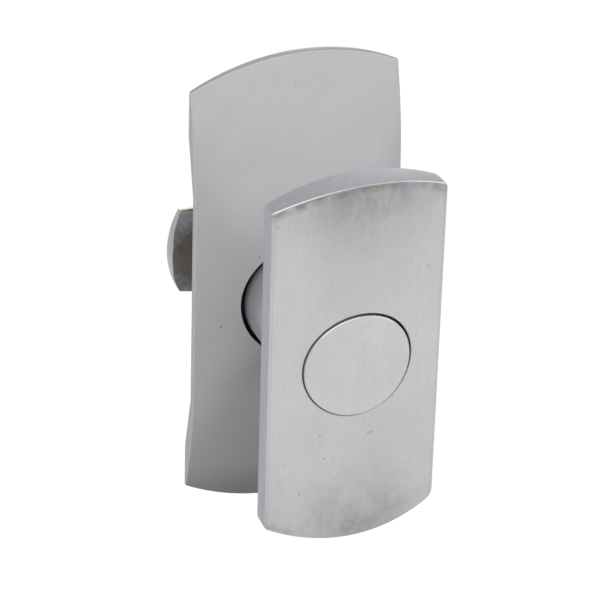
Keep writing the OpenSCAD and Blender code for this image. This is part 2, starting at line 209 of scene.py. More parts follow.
class HubSettings(bpy.types.PropertyGroup):
    """Sizes of the hub, the shank and the square behind it."""

    hub_r: length("Hub radius", "Radius of the hub", SPINDLE_HIGH.x)
    hub_back: mm("Hub back", "Height of the hub's back above the door", 6.15)
    hub_edge_r: mm("Hub edge radius", "Rounding of the hub's edges", 0.2)
    shank_r: mm("Shank radius", "Radius of the shank", 8.0)
    shank_end: mm("Shank end", "Depth of the shank's end behind the door's face", 16.0)
    seal_in_r: mm("Seal inner radius", "Inner radius of the seal round the hub", 14.25)
    seal_out_r: mm("Seal outer radius", "Outer radius of the seal round the hub", 15.17)
    seal_top: mm("Seal top", "Height of the seal's lip above the door", 8.9)
    seal_edge_r: mm("Seal edge radius", "Rounding of the seal's edges", 0.3)
    square_a: mm("Square", "Side of the square for the cam", 10.0)
    square_play: mm("Square play", "Clearance of the cam's hole on each side of the square", 0.05)
    stem_bore_r: mm("Stem bore radius", "Radius of the bore for the button's stem", 3.05)
    stem_bore_end: mm("Stem bore end", "Depth of that bore's end behind the door's face", 2.5)
    well_r: mm("Spring well radius", "Radius of the well for the button's spring", 6.5)
    well_floor: mm("Spring well floor", "Height of the well's floor above the door", 17.0)
    groove_r: mm("Groove radius", "Radius of the groove for the retaining ring", 7.4)
    slot_w: mm("Pin slot width", "Width of the slot for the lock pin", 3.6)
    slot_low: mm("Pin slot low end", "Depth of the slot's end behind the door's face", 1.1)
    slot_high: mm("Pin slot high end", "Height of the slot's end above the door", 5.0)
    bolt_hole_r: mm("Bolt hole radius", "Radius of the hole for the cam's bolt", 3.05)
    bolt_hole_end: mm("Bolt hole end", "Depth of that hole's end behind the door's face", 6.7)
    screw_r: mm("Screw hole radius", "Radius of the holes for the grip's screws", 1.55)
    screw_head_r: mm("Screw head radius", "Radius of the countersinks for their heads", 3.05)
    screw_ring_r: mm("Screw ring radius", "Radius of the circle of the grip's screws", 9.0)
    screw_end: mm("Screw hole end", "Height of the screw holes' ends above the door", 22.0)
    dowel_r: mm("Dowel radius", "Radius of the holes for the dowels", 1.5)
    dowel_ring_r: mm("Dowel ring radius", "Distance of the dowels from the axis", 10.6)
    dowel_in_hub: mm("Dowel depth in the hub", "Depth of the dowel holes in the hub", 5.05)
    dowel_in_grip: mm("Dowel depth in the grip", "Depth of the dowel holes in the grip", 2.45)


class SpringSettings(bpy.types.PropertyGroup):
    """Sizes of the button's spring."""

    wire_r: mm("Wire radius", "Radius of the wire", 0.6)
    coil_r: mm("Coil radius", "Radius of the coil to the middle of its wire", 5.2)
    turns: amount("Turns", "Number of turns", 5.0)
    closed: amount("Closed turns", "Part of a turn that lies closed at each end", 0.75)
    closed_pitch: mm("Closed pitch", "Rise of a turn where the coil lies closed", 1.26)


class CamSettings(bpy.types.PropertyGroup):
    """Sizes of the cam and of the washers and bolt that hold it."""

    width: length("Width", "Width of the cam", CAM_HIGH.z - CAM_LOW.z + 0.4 * MM)
    tip_r: length("Tip radius", "Radius from the spindle's axis to the tip", -CAM_LOW.x)
    flat: mm("Flat", "Width of the flat between the ramps at the tip", 4.6)
    edge_r: mm("Edge radius", "Rounding of the cam's edges", 0.35)
    ramp_angle: angle("Ramp angle", "Slope of the lead-in ramps", 29)
    crease_angle: angle("Crease angle", "Angle of the ramps' inner edges to the cam's length", 43)
    thrust_bore_r: mm("Thrust washer bore", "Inner radius of the thrust washer", 8.05)
    washer_bore_r: mm("Cam washer bore", "Inner radius of the cam's washer", 3.2)
    washer_edge_r: mm("Washer edge radius", "Rounding of the washers' edges", 0.2)
    bolt_flats: mm("Bolt flats", "Width of the bolt's head across its flats", 10.0)
    bolt_face: mm("Bolt face", "Height of the bolt's washer face, and how far it lies inside the flats", 0.2)
    bolt_r: mm("Bolt radius", "Radius of the bolt's shank", 3.0)
    bolt_tip: mm("Bolt tip", "Chamfer of the bolt's tip", 0.4)
    bolt_slope: angle("Bolt slope", "Slope of the chamfer on the bolt's head", 30)


class FinishSettings(bpy.types.PropertyGroup):
    """Colours of the finishes, and of the painted shade and light on some faces."""

    plate: tint("Plate", "Blasted face of the escutcheon plate", (0.53, 0.528, 0.541))
    # Painted shade: the plate darkens towards this colour at its lower end, where the face turns downwards.
    plate_low_shade: tint("Plate grime", "Dust towards the lower end of the plate", (0.05, 0.05, 0.05))
    plate_mark: tint("Plate marks", "Specks on the plate", (0.16, 0.145, 0.12))
    # Painted shade on the arched end faces and painted light on the long side faces, set by the way each face
    # turns.
    plate_end_shade: tint("Plate ends", "Arched end faces of the escutcheon plate", (0.29, 0.29, 0.295))
    plate_side_light: tint("Plate sides", "Long side faces of the escutcheon plate", (0.70, 0.68, 0.655))
    face: tint("Brushed face", "Brushed face of the grip and the button", (0.58, 0.58, 0.596))
    face_mark: tint("Face marks", "Nicks in the brushed faces", (0.14, 0.135, 0.14))
    # The grip's sides and back have their own plainer finish, darkened further as painted shade; the arched
    # end faces below are darker still as painted shade.
    edge: tint("Edges", "Sides and back of the grip", (0.40, 0.39, 0.42))
    end: tint("Ends", "Arched end faces of the grip", (0.37, 0.36, 0.39))
    grime: tint("Grime", "Handling dirt on the grip", (0.2, 0.2, 0.215))
    seam_dirt: tint("Seam dirt", "Brown dirt along the grip's upper edge", (0.2, 0.188, 0.16))
    hub: tint("Hub", "Turned hub and shank", (0.44, 0.43, 0.465))
    zinc: tint("Zinc", "Passivated zinc on steel", (0.46, 0.45, 0.41))
    zinc_cloud: tint("Zinc clouds", "Cool clouds in the zinc", (0.36, 0.38, 0.40))
    # Painted shade: the cam's faces turned to the front, and the front part of its long sides, take these
    # dark colours.
    cam_flat_shade: tint("Cam face", "Dark flat of the cam", (0.27, 0.25, 0.205))
    cam_flat_shade_cloud: tint("Cam face clouds", "Clouds in the cam's flat", (0.21, 0.2, 0.17))
    cam_ramp_shade: tint("Cam ramps", "Bluish ramps of the cam", (0.145, 0.155, 0.172))
    cam_ramp_shade_cloud: tint("Cam ramp clouds", "Clouds in the cam's ramps", (0.08, 0.085, 0.085))
    cam_edge_cloud: tint("Cam edge clouds", "Clouds in the cam's cut edges", (0.36, 0.36, 0.34))
    cam_side_shade: tint("Cam skin", "Dark skin along the front of the cam's long sides", (0.07, 0.065, 0.055))
    steel: tint("Steel", "Bright steel of screws, stem, pin and spring", (0.50, 0.50, 0.52))
    dark_steel: tint("Spring steel", "Phosphated rings and clips", (0.06, 0.06, 0.065))
    # Black rubber, made darker than the rubber itself as painted shade for the deep gap round the hub.
    rubber: tint("Rubber", "Seal round the hub", (0.004, 0.004, 0.0045))
    bush: tint("Bush", "Moulded bearing bush", (0.03, 0.03, 0.033))
    washer: tint("Washer", "Moulded friction washer", (0.62, 0.60, 0.53))


class DirtAndShadeSettings(bpy.types.PropertyGroup):
    """Where the plate's painted shade, the grip's darker ends and its handling dirt lie."""

    # Painted shade at the plate's lower end, where the face turns downwards.
    low_from: mm("Dust from", "Height of the thickest dust at the plate's lower end", -57.0)
    low_to: mm("Dust to", "Height at which that dust ends", -44.0)
    low_depth: amount("Dust depth", "Depth of that dust", 0.42)
    # How the grip's face darkens towards its arched ends and down the middle.
    end_reach: mm("End reach", "How far the dull ends of the grip reach", 9.0)
    end_most: amount("End most", "Share at which the dullness is held", 0.64)
    end_depth: amount("End depth", "Depth of the dull ends", 0.78)
    middle: mm("Middle", "Place across the grip where the dirt is thickest", 1.0)
    middle_from: mm("Middle from", "Distance from there at which the dirt begins to thin out", 4.0)
    middle_to: mm("Middle to", "Distance from there at which it is thinnest", 18.0)
    sides: amount("Sides", "Share of the dirt that is left at the sides", 0.34)
    haze: amount("Haze", "Even dullness down the middle of the grip", 0.07)
    seam_from: mm("Seam from", "Distance from the upper edge up to which the seam's dirt is thickest", 0.5)
    seam_to: mm("Seam to", "Distance from the upper edge at which that dirt ends", 2.8)
    seam_depth: amount("Seam depth", "Depth of that dirt", 0.95)
    bevel_from: mm("Bevel from", "Distance from the edge within which the bevel is clean", 0.28)
    bevel_to: mm("Bevel to", "Distance from the edge at which the dirt has begun", 0.42)
    upper_from: mm("Upper from", "Height above which the seam's dirt begins", 20.0)
    upper_to: mm("Upper to", "Height above which it is full", 30.0)
    left_full: mm("Left full", "Place across up to which the seam's dirt is full", -4.0)
    right_thin: mm("Right thin", "Place across from which it is thinnest", 12.0)
    right_share: amount("Right share", "Share of it that is left there", 0.45)
    corner_from: mm("Corner from", "Distance from the ends up to which two corners are dirtiest", 0.6)
    corner_to: mm("Corner to", "Distance from the ends at which that dirt ends", 4.0)
    corner_depth: amount("Corner depth", "Depth of that dirt", 0.34)
    corner_x_from: mm("Corner across from", "Place across at which a dirty corner begins", 13.0)
    corner_x_to: mm("Corner across to", "Place across at which it is full", 17.0)
    corner_z: mm("Corner height", "Height at which those places are given", 38.0)
    line_x: mm("Line place", "Place of the fine lines along the grip's sides", 19.9)
    line_core: mm("Line core", "Half width of a line's dark middle", 0.02)
    line_w: mm("Line width", "Half width of a line", 0.24)
    line_depth: amount("Line depth", "Depth of the lines", 0.2)


class StageSettings(bpy.types.PropertyGroup):
    """Camera, lamps and floor."""

    camera: place("Camera", "Place of the camera", (-0.27532, -0.65517, 0.41585))
    aim: place("Aim", "Point that the camera looks at", (0.001506, -0.003719, -0.004824))
    roll: angle("Roll", "Roll of the camera", 1.739)
    lens: amount("Lens", "Focal length in millimetres", 215.76)
    sensor: amount("Sensor", "Width of the camera's sensor in millimetres", 36.0)
    overhead_lamp: amount("Overhead lamp", "Power of the large lamp above", 6.0)
    key_lamp: amount("Key", "Power of the lamp above in front", 5.0)
    fill_lamp: amount("Fill", "Power of the lamp at the left", 11.0)
    right_lamp: amount("Right", "Power of the lamp at the right", 8.0)
    back_lamp: amount("Back", "Power of the lamp behind", 9.0)
    ambient: amount("Ambient", "Strength of the even light from all round", 0.18)
    overhead: amount("Overhead", "Strength of the white overhead in the metal's reflections", 0.72)
    overhead_from: amount("Overhead from", "Slope upwards at which the overhead begins", 0.15)
    overhead_to: amount("Overhead to", "Slope upwards at which the overhead is full", 0.7)
    glow: amount("Glow", "Strength with which the floor shows white", 0.94)
    floor_z: length("Floor", "Height of the floor", -0.118)
    floor_r: length("Floor radius", "Radius of the floor", 3.0)
    floor: tint("Floor", "Colour of the floor", (0.1, 0.1, 0.1))


# Place, size and colour of each lamp; its power is the stage's setting of the same name.
LAMPS = {
    "overhead_lamp": ((-0.12, -0.65, 1.35), 1.45, WHITE),
    "key_lamp": ((0.0, -1.0, 1.05), 0.7, WHITE),
    "fill_lamp": ((-0.95, -0.65, 1.0), 0.8, (1.0, 0.98, 0.96)),
    "right_lamp": ((1.2, -0.4, 0.6), 0.8, WHITE),
    "back_lamp": ((0.25, 1.3, 0.2), 0.9, WHITE),
}


def front(x, y, height):
    """Point from a place across and up the plate and a height in front of the door."""
    return (x, -height, y)


def arc_radius(chord, rise):
    """Radius of an arc with the given rise over the given chord."""
    return (chord * chord / 4 + rise * rise) / (2 * rise)


def fall(radius, x):
    """How far an arc has fallen at a distance from its top."""
    return radius - math.sqrt(max(radius * radius - x * x, 0.0))


def soft_least(values, blend):
    """Least of the values, rounded off where two of them are close."""
    least = min(values)
    return least - blend * math.log(sum(math.exp((least - v) / blend) for v in values))


def quarter(steps):
    """Angles of a rounded edge."""
    return [math.pi / 2 * k / steps for k in range(steps + 1)]


def eased(count):
    """Shares from 0 to 1, closer together at both ends."""
    return [(1 - math.cos(math.pi * k / count)) / 2 for k in range(count + 1)]


def disc_outline(r, segments, centre=(0.0, 0.0), start=0.0):
    """Circle in plan, or places spread evenly on one."""
    turns = [start + 2 * math.pi * k / segments for k in range(segments)]
    return [(centre[0] + r * math.cos(a), centre[1] + r * math.sin(a)) for a in turns]


def box_outline(half_x, half_y):
    """Rectangle in plan round the axis."""
    return [(half_x, half_y), (-half_x, half_y), (-half_x, -half_y), (half_x, -half_y)]


def between(inner, outer, share):
    """Loop between two loops."""
    return [(a[0] + (b[0] - a[0]) * share, a[1] + (b[1] - a[1]) * share) for a, b in zip(inner, outer)]


class ArchedOutline:
    """Plan of a plate with straight sides, arched ends and rounded corners, as loops of matching points."""

    SIDE, CORNER, ARC = 72, 6, 56

    def __init__(self, width, height, rise, corner_rs):
        self.half = width / 2
        self.radius = arc_radius(width, rise)
        self.centre = height / 2 - self.radius
        self.corner_rs = corner_rs
        parts = (("side", self.SIDE), ("corner", self.CORNER), ("arc", self.ARC))
        self.marks = []
        for quadrant in range(4):
            outwards = quadrant % 2 == 0
            for part, count in parts if outwards else reversed(parts):
                shares = [k / count for k in range(count)]
                self.marks += [(quadrant, part, share if outwards else 1.0 - share) for share in shares]
        self.angles = [math.atan2(y, x) for x, y in self.loop(0.0)]

    def spot(self, mark, inset):
        """Point of the loop that is set in from the edge."""
        quadrant, part, share = mark
        round_r = max(self.corner_rs[quadrant] - inset, 0.0)
        x = self.half - inset - round_r
        reach = self.radius - inset - round_r
        y = self.centre + math.sqrt(reach * reach - x * x)
        turn = math.atan2(y - self.centre, x)
        if part == "side":
            p = (self.half - inset, share * y)
        elif part == "corner":
            p = (x + round_r * math.cos(share * turn), y + round_r * math.sin(share * turn))
        else:
            along = turn + share * (math.pi / 2 - turn)
            r = self.radius - inset
            p = (r * math.cos(along), self.centre + r * math.sin(along))
        flip_x = -1 if quadrant in (1, 2) else 1
        flip_y = -1 if quadrant in (2, 3) else 1
        return (flip_x * p[0], flip_y * p[1])

    def loop(self, inset):
        """Points set in from the edge by one inset, or by one inset for each point."""
        insets = inset if isinstance(inset, list) else [inset] * len(self.marks)
        return [self.spot(mark, d) for mark, d in zip(self.marks, insets)]

    def circle(self, r):
        """Circle whose points match those of the loops."""
        return [(r * math.cos(a), r * math.sin(a)) for a in self.angles]

    def end_gap(self, x, y):
        """Distance in from the arched end."""
        return self.radius - math.hypot(x, abs(y) - self.centre)

    def from_side_to_end(self, side, end):
        """One value for each point: the first on a long side, the second on an arched end."""
        shares = {"side": 0.0, "corner": 0.5, "arc": 1.0}
        return [side + (end - side) * shares[part] for _, part, _ in self.marks]


class Shell:
    """Closed surface made of rings of points that are joined in order."""

    def __init__(self, name):
        self.name = name
        self.points = []
        self.faces = []
        self.rings = []
        self.face_mask = []

    def ring(self, loop, heights, on_face=0.0):
        """Adds a ring: a loop in plan at one height, or at one height for each point."""
        if not isinstance(heights, list):
            heights = [heights] * len(loop)
        start = len(self.points)
        self.points += [front(x, y, h) for (x, y), h in zip(loop, heights)]
        self.face_mask += on_face if isinstance(on_face, list) else [on_face] * len(loop)
        self.rings.append(range(start, start + len(loop)))
        if len(self.rings) > 1:
            self.join(self.rings[-2], self.rings[-1])

    def turn(self, circle, profile):
        """Adds a ring for each radius and height of a profile."""
        for r, height in profile:
            self.ring(circle(r), height)

    def face(self, height, inner, outer, rings):
        """Adds the rings of a face that runs from one loop to another, without the first."""
        for share in eased(rings)[1:]:
            loop = between(inner, outer, share)
            self.ring(loop, [height(x, y) for x, y in loop], 1.0)

    def hole_edge(self, outline, height, r, edge_r, steps=4):
        """Adds the rounded edge of a round hole in a face, from its wall outwards."""
        for a in quarter(steps):
            loop = outline.circle(r + edge_r * (1 - math.cos(a)))
            self.ring(loop, [height(x, y) - edge_r * (1 - math.sin(a)) for x, y in loop], a / (math.pi / 2))

    def front_edge(self, outline, height, edges, shine, steps=5):
        """Adds the rounded edge round a face, which shares its polish up to a turn of 60 degrees."""
        for a in quarter(steps)[1:]:
            loop = outline.loop([r * (1 - math.sin(a)) for r in edges])
            heights = [height(x, y) - r * (1 - math.cos(a)) for (x, y), r in zip(loop, edges)]
            self.ring(loop, heights, shine if a < math.pi / 3 else 0.0)

    def back_edge(self, outline, level, r, steps):
        """Adds the rounded edge round a flat back."""
        for a in quarter(steps):
            self.ring(outline.loop(r * (1 - math.cos(a))), level + r * (1 - math.sin(a)))

    def join(self, a, b):
        """Strip of quads between two rings."""
        n = len(a)
        self.faces += [(a[i], a[(i + 1) % n], b[(i + 1) % n], b[i]) for i in range(n)]

    def join_ends(self):
        """Joins the last ring to the first."""
        self.join(self.rings[-1], self.rings[0])

    def cap_ends(self):
        """Closes both ends with a fan round the middle."""
        for ring in (list(self.rings[0]), list(self.rings[-1])):
            middle = sum((Vector(self.points[i]) for i in ring), Vector()) / len(ring)
            self.points.append(tuple(middle))
            self.face_mask.append(self.face_mask[ring[0]])
            hub = len(self.points) - 1
            self.faces += [(ring[i], ring[(i + 1) % len(ring)], hub) for i in range(len(ring))]

    def build(self, extras=()):
        """Makes the object, with the mask of its face and any further values for each point."""
        mesh = bpy.data.meshes.new(self.name)
        mesh.from_pydata(self.points, [], self.faces)
        for key, values in [("on_face", self.face_mask), *extras]:
            mesh.attributes.new(key, "FLOAT", "POINT").data.foreach_set("value", values)
        return finish_mesh(mesh)


def smooth(mesh, sharp=SHARP):
    """Shades a mesh smooth, but for its sharp edges."""
    mesh.shade_smooth()
    mesh.set_sharp_from_angle(angle=sharp)


def finish_mesh(mesh):
    """Points the faces outwards, smooths the mesh and links its object."""
    work = bmesh.new()
    work.from_mesh(mesh)
    bmesh.ops.recalc_face_normals(work, faces=work.faces)
    work.to_mesh(mesh)
    work.free()
    smooth(mesh)
    made = bpy.data.objects.new(mesh.name, mesh)
    bpy.context.scene.collection.objects.link(made)
    return made


def rounded(profile, radius, steps=4):
    """Profile with its inner corners rounded off."""
    made = [profile[0]]
    for before, corner, after in zip(profile, profile[1:], profile[2:]):
        b, c, a = Vector(before), Vector(corner), Vector(after)
        r = min(radius, (b - c).length / 2, (a - c).length / 2)
        p, q = c + (b - c).normalized() * r, c + (a - c).normalized() * r
        for k in range(steps + 1):
            t = k / steps
            made.append(tuple(p * (1 - t) ** 2 + c * 2 * t * (1 - t) + q * t * t))
    made.append(profile[-1])
    return made


def lathe(name, profile, segments=160):
    """Turned piece from a profile of radii and heights; a profile that ends where it starts makes a ring."""
    shell = Shell(name)
    ring_shaped = profile[0] == profile[-1]
    shell.turn(lambda r: disc_outline(r, segments), profile[:-1] if ring_shaped else profile)
    if ring_shaped:
        shell.join_ends()
    else:
        shell.cap_ends()
    return shell.build()


def flat_ring(name, inner, outer, low, high, edge_r):
    """Washer or seal with rounded edges."""
    start = (inner, (low + high) / 2)
    profile = [start, (inner, high), (outer, high), (outer, low), (inner, low), start]
    return lathe(name, rounded(profile, edge_r))


def prism(name, outline, low, high):
    """Straight solid over an outline in plan."""
    shell = Shell(name)
    shell.ring(outline, low)
    shell.ring(outline, high)
    shell.cap_ends()
    return shell.build()


def carve(target, cutter, operation="DIFFERENCE"):
    """Applies one boolean to the target and removes the cutter."""
    step = target.modifiers.new("carve", "BOOLEAN")
    step.operation = operation
    step.solver = "EXACT"
    step.object = cutter
    carved = bpy.data.meshes.new_from_object(target.evaluated_get(bpy.context.evaluated_depsgraph_get()))
    target.modifiers.clear()
    old, name = target.data, target.data.name
    target.data = carved
    bpy.data.meshes.remove(old)
    carved.name = name
    bpy.data.objects.remove(cutter)


def bore(target, r, centre, low, high, segments):
    """Cuts one round hole."""
    carve(target, prism("bore", disc_outline(r, segments, centre), low, high))


def add_node(tree, kind, inputs=None, **settings):
    """Adds a node, sets its options, and sets or links its inputs."""
    made = tree.nodes.new(kind)
    for key, value in settings.items():
        setattr(made, key, value)
    for key, value in (inputs or {}).items():
        if isinstance(value, bpy.types.NodeSocket):
            tree.links.new(value, made.inputs[key])
        else:
            made.inputs[key].default_value = value
    return made


def math_node(tree, operation, a, b=0.0):
    """Result of one sum on two values."""
    return add_node(tree, "ShaderNodeMath", {0: a, 1: b}, operation=operation).outputs[0]


def product(tree, first, *others):
    """Product of several values."""
    for other in others:
        first = math_node(tree, "MULTIPLY", first, other)
    return first


def size_of(tree, value):
    """A value without its sign."""
    return math_node(tree, "ABSOLUTE", value)


def vector_node(tree, operation, a, b=(0.0, 0.0, 0.0)):
    """Result of one sum on two vectors."""
    made = add_node(tree, "ShaderNodeVectorMath", {0: a, 1: b}, operation=operation)
    return made.outputs["Value" if operation in ("DOT_PRODUCT", "LENGTH") else "Vector"]


def ramp_node(tree, value, low, high, out_low=0.0, out_high=1.0):
    """Value eased from one range to another and held at its ends."""
    inputs = {"Value": value, "From Min": low, "From Max": high, "To Min": out_low, "To Max": out_high}
    return add_node(tree, "ShaderNodeMapRange", inputs, interpolation_type="SMOOTHSTEP").outputs["Result"]


def mix_node(tree, factor, a, b, blend_type="MIX"):
    """Mix of two colours."""
    made = tree.nodes.new("ShaderNodeMix")
    made.data_type = "RGBA"
    made.blend_type = blend_type
    for index, value in ((0, factor), (6, a), (7, b)):
        if isinstance(value, bpy.types.NodeSocket):
            tree.links.new(value, made.inputs[index])
        else:
            made.inputs[index].default_value = value if index == 0 else (*value, 1.0)
    return made.outputs[2]


def spot_in(tree, kind="Object"):
    """Place on the object, or with Normal the direction that the surface faces."""
    return add_node(tree, "ShaderNodeTexCoord").outputs[kind]


def split(tree, vector):
    """The x, y and z of a vector."""
    made = add_node(tree, "ShaderNodeSeparateXYZ", {0: vector})
    return [made.outputs[axis] for axis in "XYZ"]


def attribute(tree, name):
    """A value that the mesh keeps for each point."""
    return add_node(tree, "ShaderNodeAttribute", attribute_name=name).outputs["Fac"]


def noise(tree, vector, scale, detail):
    """Soft noise round one half."""
    inputs = {"Vector": vector, "Scale": scale, "Detail": detail}
    return add_node(tree, "ShaderNodeTexNoise", inputs).outputs["Fac"]


def new_group(name, numbers, output, vectors=()):
    """Shader node group with named inputs and one output, and the sockets of both inside it."""
    group = bpy.data.node_groups.new(name, "ShaderNodeTree")
    for kind, rows in (("NodeSocketVector", vectors), ("NodeSocketFloat", numbers)):
        for key, default in rows:
            group.interface.new_socket(key, in_out="INPUT", socket_type=kind).default_value = default
    group.interface.new_socket(output, in_out="OUTPUT", socket_type="NodeSocketFloat")
    given, result = group.nodes.new("NodeGroupInput"), group.nodes.new("NodeGroupOutput")
    return group, given.outputs, result.inputs[output]


def grain_group():
    """Even grain: its tone round one half."""
    group, given, result = new_group("Grain", [("Scale", 1000.0)], "Tone")
    group.links.new(noise(group, spot_in(group), given["Scale"], 2.0), result)
    return group


def brushing_group():
    """Fine lines up and down the face: their tone round one half."""
    group, given, result = new_group("Brushing", [("Across", 5000.0), ("Along", 120.0)], "Tone")
    scale = {"X": given["Across"], "Y": given["Across"], "Z": given["Along"]}
    scale = add_node(group, "ShaderNodeCombineXYZ", scale).outputs["Vector"]
    stretched = vector_node(group, "MULTIPLY", spot_in(group), scale)
    group.links.new(noise(group, stretched, 1.0, 3.0), result)
    return group


def patches_group():
    """Soft patches: a mask from a coarse noise."""
    group, given, result = new_group("Patches", [("Scale", 100.0), ("From", 0.45), ("To", 0.65)], "Mask")
    coarse = noise(group, spot_in(group), given["Scale"], 4.0)
    group.links.new(ramp_node(group, coarse, given["From"], given["To"]), result)
    return group


def mark_group():
    """One small oblong mark: its mask."""
    vectors = [("Centre", (0.0, 0.0, 0.0)), ("Along", (0.0, 0.0, 1.0))]
    group, given, result = new_group("Mark", [("Length", MM), ("Width", MM)], "Mask", vectors)
    offset = vector_node(group, "SUBTRACT", spot_in(group), given["Centre"])
    along = vector_node(group, "DOT_PRODUCT", offset, given["Along"])
    distance = vector_node(group, "LENGTH", offset)
    aside = math_node(group, "SUBTRACT", product(group, distance, distance), product(group, along, along))
    across = math_node(group, "SQRT", math_node(group, "MAXIMUM", aside, 0.0))
    reach = math_node(group, "DIVIDE", along, given["Length"])
    spread = math_node(group, "DIVIDE", across, given["Width"])
    size = math_node(group, "ADD", product(group, reach, reach), product(group, spread, spread))
    full, outside = 0.2, 1.0
    group.links.new(ramp_node(group, size, full, outside, 1.0, 0.0), result)
    return group


GROUP_MAKERS = {
    "Grain": grain_group,
    "Brushing": brushing_group,
    "Patches": patches_group,
    "Mark": mark_group,
}


def use_group(tree, name, **inputs):
    """Places a shared node group, building it the first time, and returns its output."""
    group = bpy.data.node_groups.get(name) or GROUP_MAKERS[name]()
    return add_node(tree, "ShaderNodeGroup", inputs, node_tree=group).outputs[0]


def patches(tree, scale, low, high):
    """Mask of soft patches."""
    return use_group(tree, "Patches", **{"Scale": scale, "From": low, "To": high})


# Ranges that the noises mostly keep to.
WIDE_TONES = (0.25, 0.75)
CLOSE_TONES = (0.3, 0.7)


def new_material(name, metallic):
    """Material with one Principled shader."""
    material = bpy.data.materials.new("finish_" + name)
    material.use_nodes = True
    shader = material.node_tree.nodes["Principled BSDF"]
    shader.inputs["Metallic"].default_value = metallic
    return material, material.node_tree, shader


def toned(tree, colour, tone, swing):
    """Colour made lighter and darker by a tone round one half."""
    gain = ramp_node(tree, tone, *WIDE_TONES, 1.0 - swing, 1.0 + swing)
    return mix_node(tree, 1.0, colour, gain, "MULTIPLY")


def dress(tree, shader, colour, rough, relief, depth, strength):
    """Links a shader's colour and roughness, and gives it a fine relief."""
    tree.links.new(colour, shader.inputs["Base Color"])
    tree.links.new(rough, shader.inputs["Roughness"])
    bump = add_node(tree, "ShaderNodeBump", {"Strength": strength, "Distance": depth * MM, "Height": relief})
    tree.links.new(bump.outputs["Normal"], shader.inputs["Normal"])


def with_marks(tree, colour, marks, dark):
    """Colour with small marks on it."""
    for centre, along, mark_l, mark_w, depth in marks:
        mask = use_group(
            tree,
            "Mark",
            Centre=tuple(MM * c for c in centre),
            Along=tuple(Vector(along).normalized()),
            Length=mark_l * MM,
            Width=mark_w * MM,
        )
        colour = mix_node(tree, product(tree, mask, depth), colour, tuple(dark))
    return colour


# Each mark: centre in millimetres, direction, length and width in millimetres, and depth of tone.
PLATE_MARKS = [
    ((-1.2, -3.5, 51.4), (0, 0, 1), 0.5, 0.35, 0.22),
    ((-1.0, -3.3, 52.2), (1, 0, 0), 0.3, 0.3, 0.12),
    ((10.1, -6.3, 37.3), (1, 0, 1), 0.45, 0.35, 0.16),
    ((-19.4, -7.7, -5.5), (1, 0, 1), 0.5, 0.4, 0.5),
    ((-11.3, -10.1, 12.3), (0, 0, 1), 0.5, 0.45, 0.4),
    ((-11.4, -6.8, 34.3), (1, 0, 0), 0.4, 0.3, 0.12),
    ((22.2, -1.8, 52.2), (1, 0, -0.25), 1.5, 0.35, 0.22),
]
GRIP_MARKS = [
    ((-8.6, -41.1, -16.9), (1, 0, 1.2), 0.5, 0.28, 0.36),
    ((-8.5, -41.1, -18.7), (1, 0, 0.6), 0.45, 0.25, 0.3),
    ((-7.5, -41.2, -23.1), (1, 0, 0.8), 0.7, 0.25, 0.4),
    ((-5.2, -41.4, -28.9), (1, 0, 0.4), 0.65, 0.28, 0.24),
    ((-12.9, -40.5, -31.7), (-0.55, 0, 1), 0.75, 0.25, 0.42),
    ((3.3, -41.5, -18.2), (1, 0, 0.25), 1.1, 0.4, 0.3),
    ((16.3, -39.9, 21.2), (0, 0, 1), 0.5, 0.35, 0.35),
    ((-16.4, -39.9, -23.5), (1, 0, 0.5), 0.4, 0.25, 0.2),
    ((-19.3, -39.1, 37.3), (0, 0, 1), 1.0, 0.25, 0.35),
]
BUTTON_MARKS = [((0.7, -41.9, 1.5), (0.03, 0, 1), 9.5, 0.12, 0.1)]


def blasted_material(name, colours, dirt):
    """Matte blasted metal with a fine even grain, painted shade towards the lower end, painted shade on the
    arched end faces, painted light on the long side faces and a few specks.
    """
    material, tree, shader = new_material(name, 0.0)
    grain = use_group(tree, "Grain", Scale=2600.0)
    cloud = use_group(tree, "Grain", Scale=130.0)
    colour = toned(tree, tuple(colours.plate), grain, 0.035)
    colour = toned(tree, colour, cloud, 0.02)
    up = split(tree, spot_in(tree))[2]
    # Painted shade: darker towards the plate's lower end, where the face turns downwards.
    low_shade = ramp_node(tree, up, dirt.low_from, dirt.low_to, dirt.low_depth, 0.0)
    colour = mix_node(tree, low_shade, colour, tuple(colours.plate_low_shade))
    colour = with_marks(tree, colour, PLATE_MARKS, colours.plate_mark)
    # Painted shade and light: faces turned up or down take a darker colour, faces turned to the sides a
    # lighter, warmer one.
    facing_x, _, facing_z = split(tree, spot_in(tree, "Normal"))
    end_shade_mask = ramp_node(tree, size_of(tree, facing_z), 0.5, 0.75)
    side_light_mask = ramp_node(tree, size_of(tree, facing_x), 0.6, 0.85)
    colour = mix_node(tree, end_shade_mask, colour, tuple(colours.plate_end_shade))
    colour = mix_node(tree, side_light_mask, colour, tuple(colours.plate_side_light))
    dress(tree, shader, colour, ramp_node(tree, cloud, *CLOSE_TONES, 0.5, 0.6), grain, 0.02, 0.5)
    return material


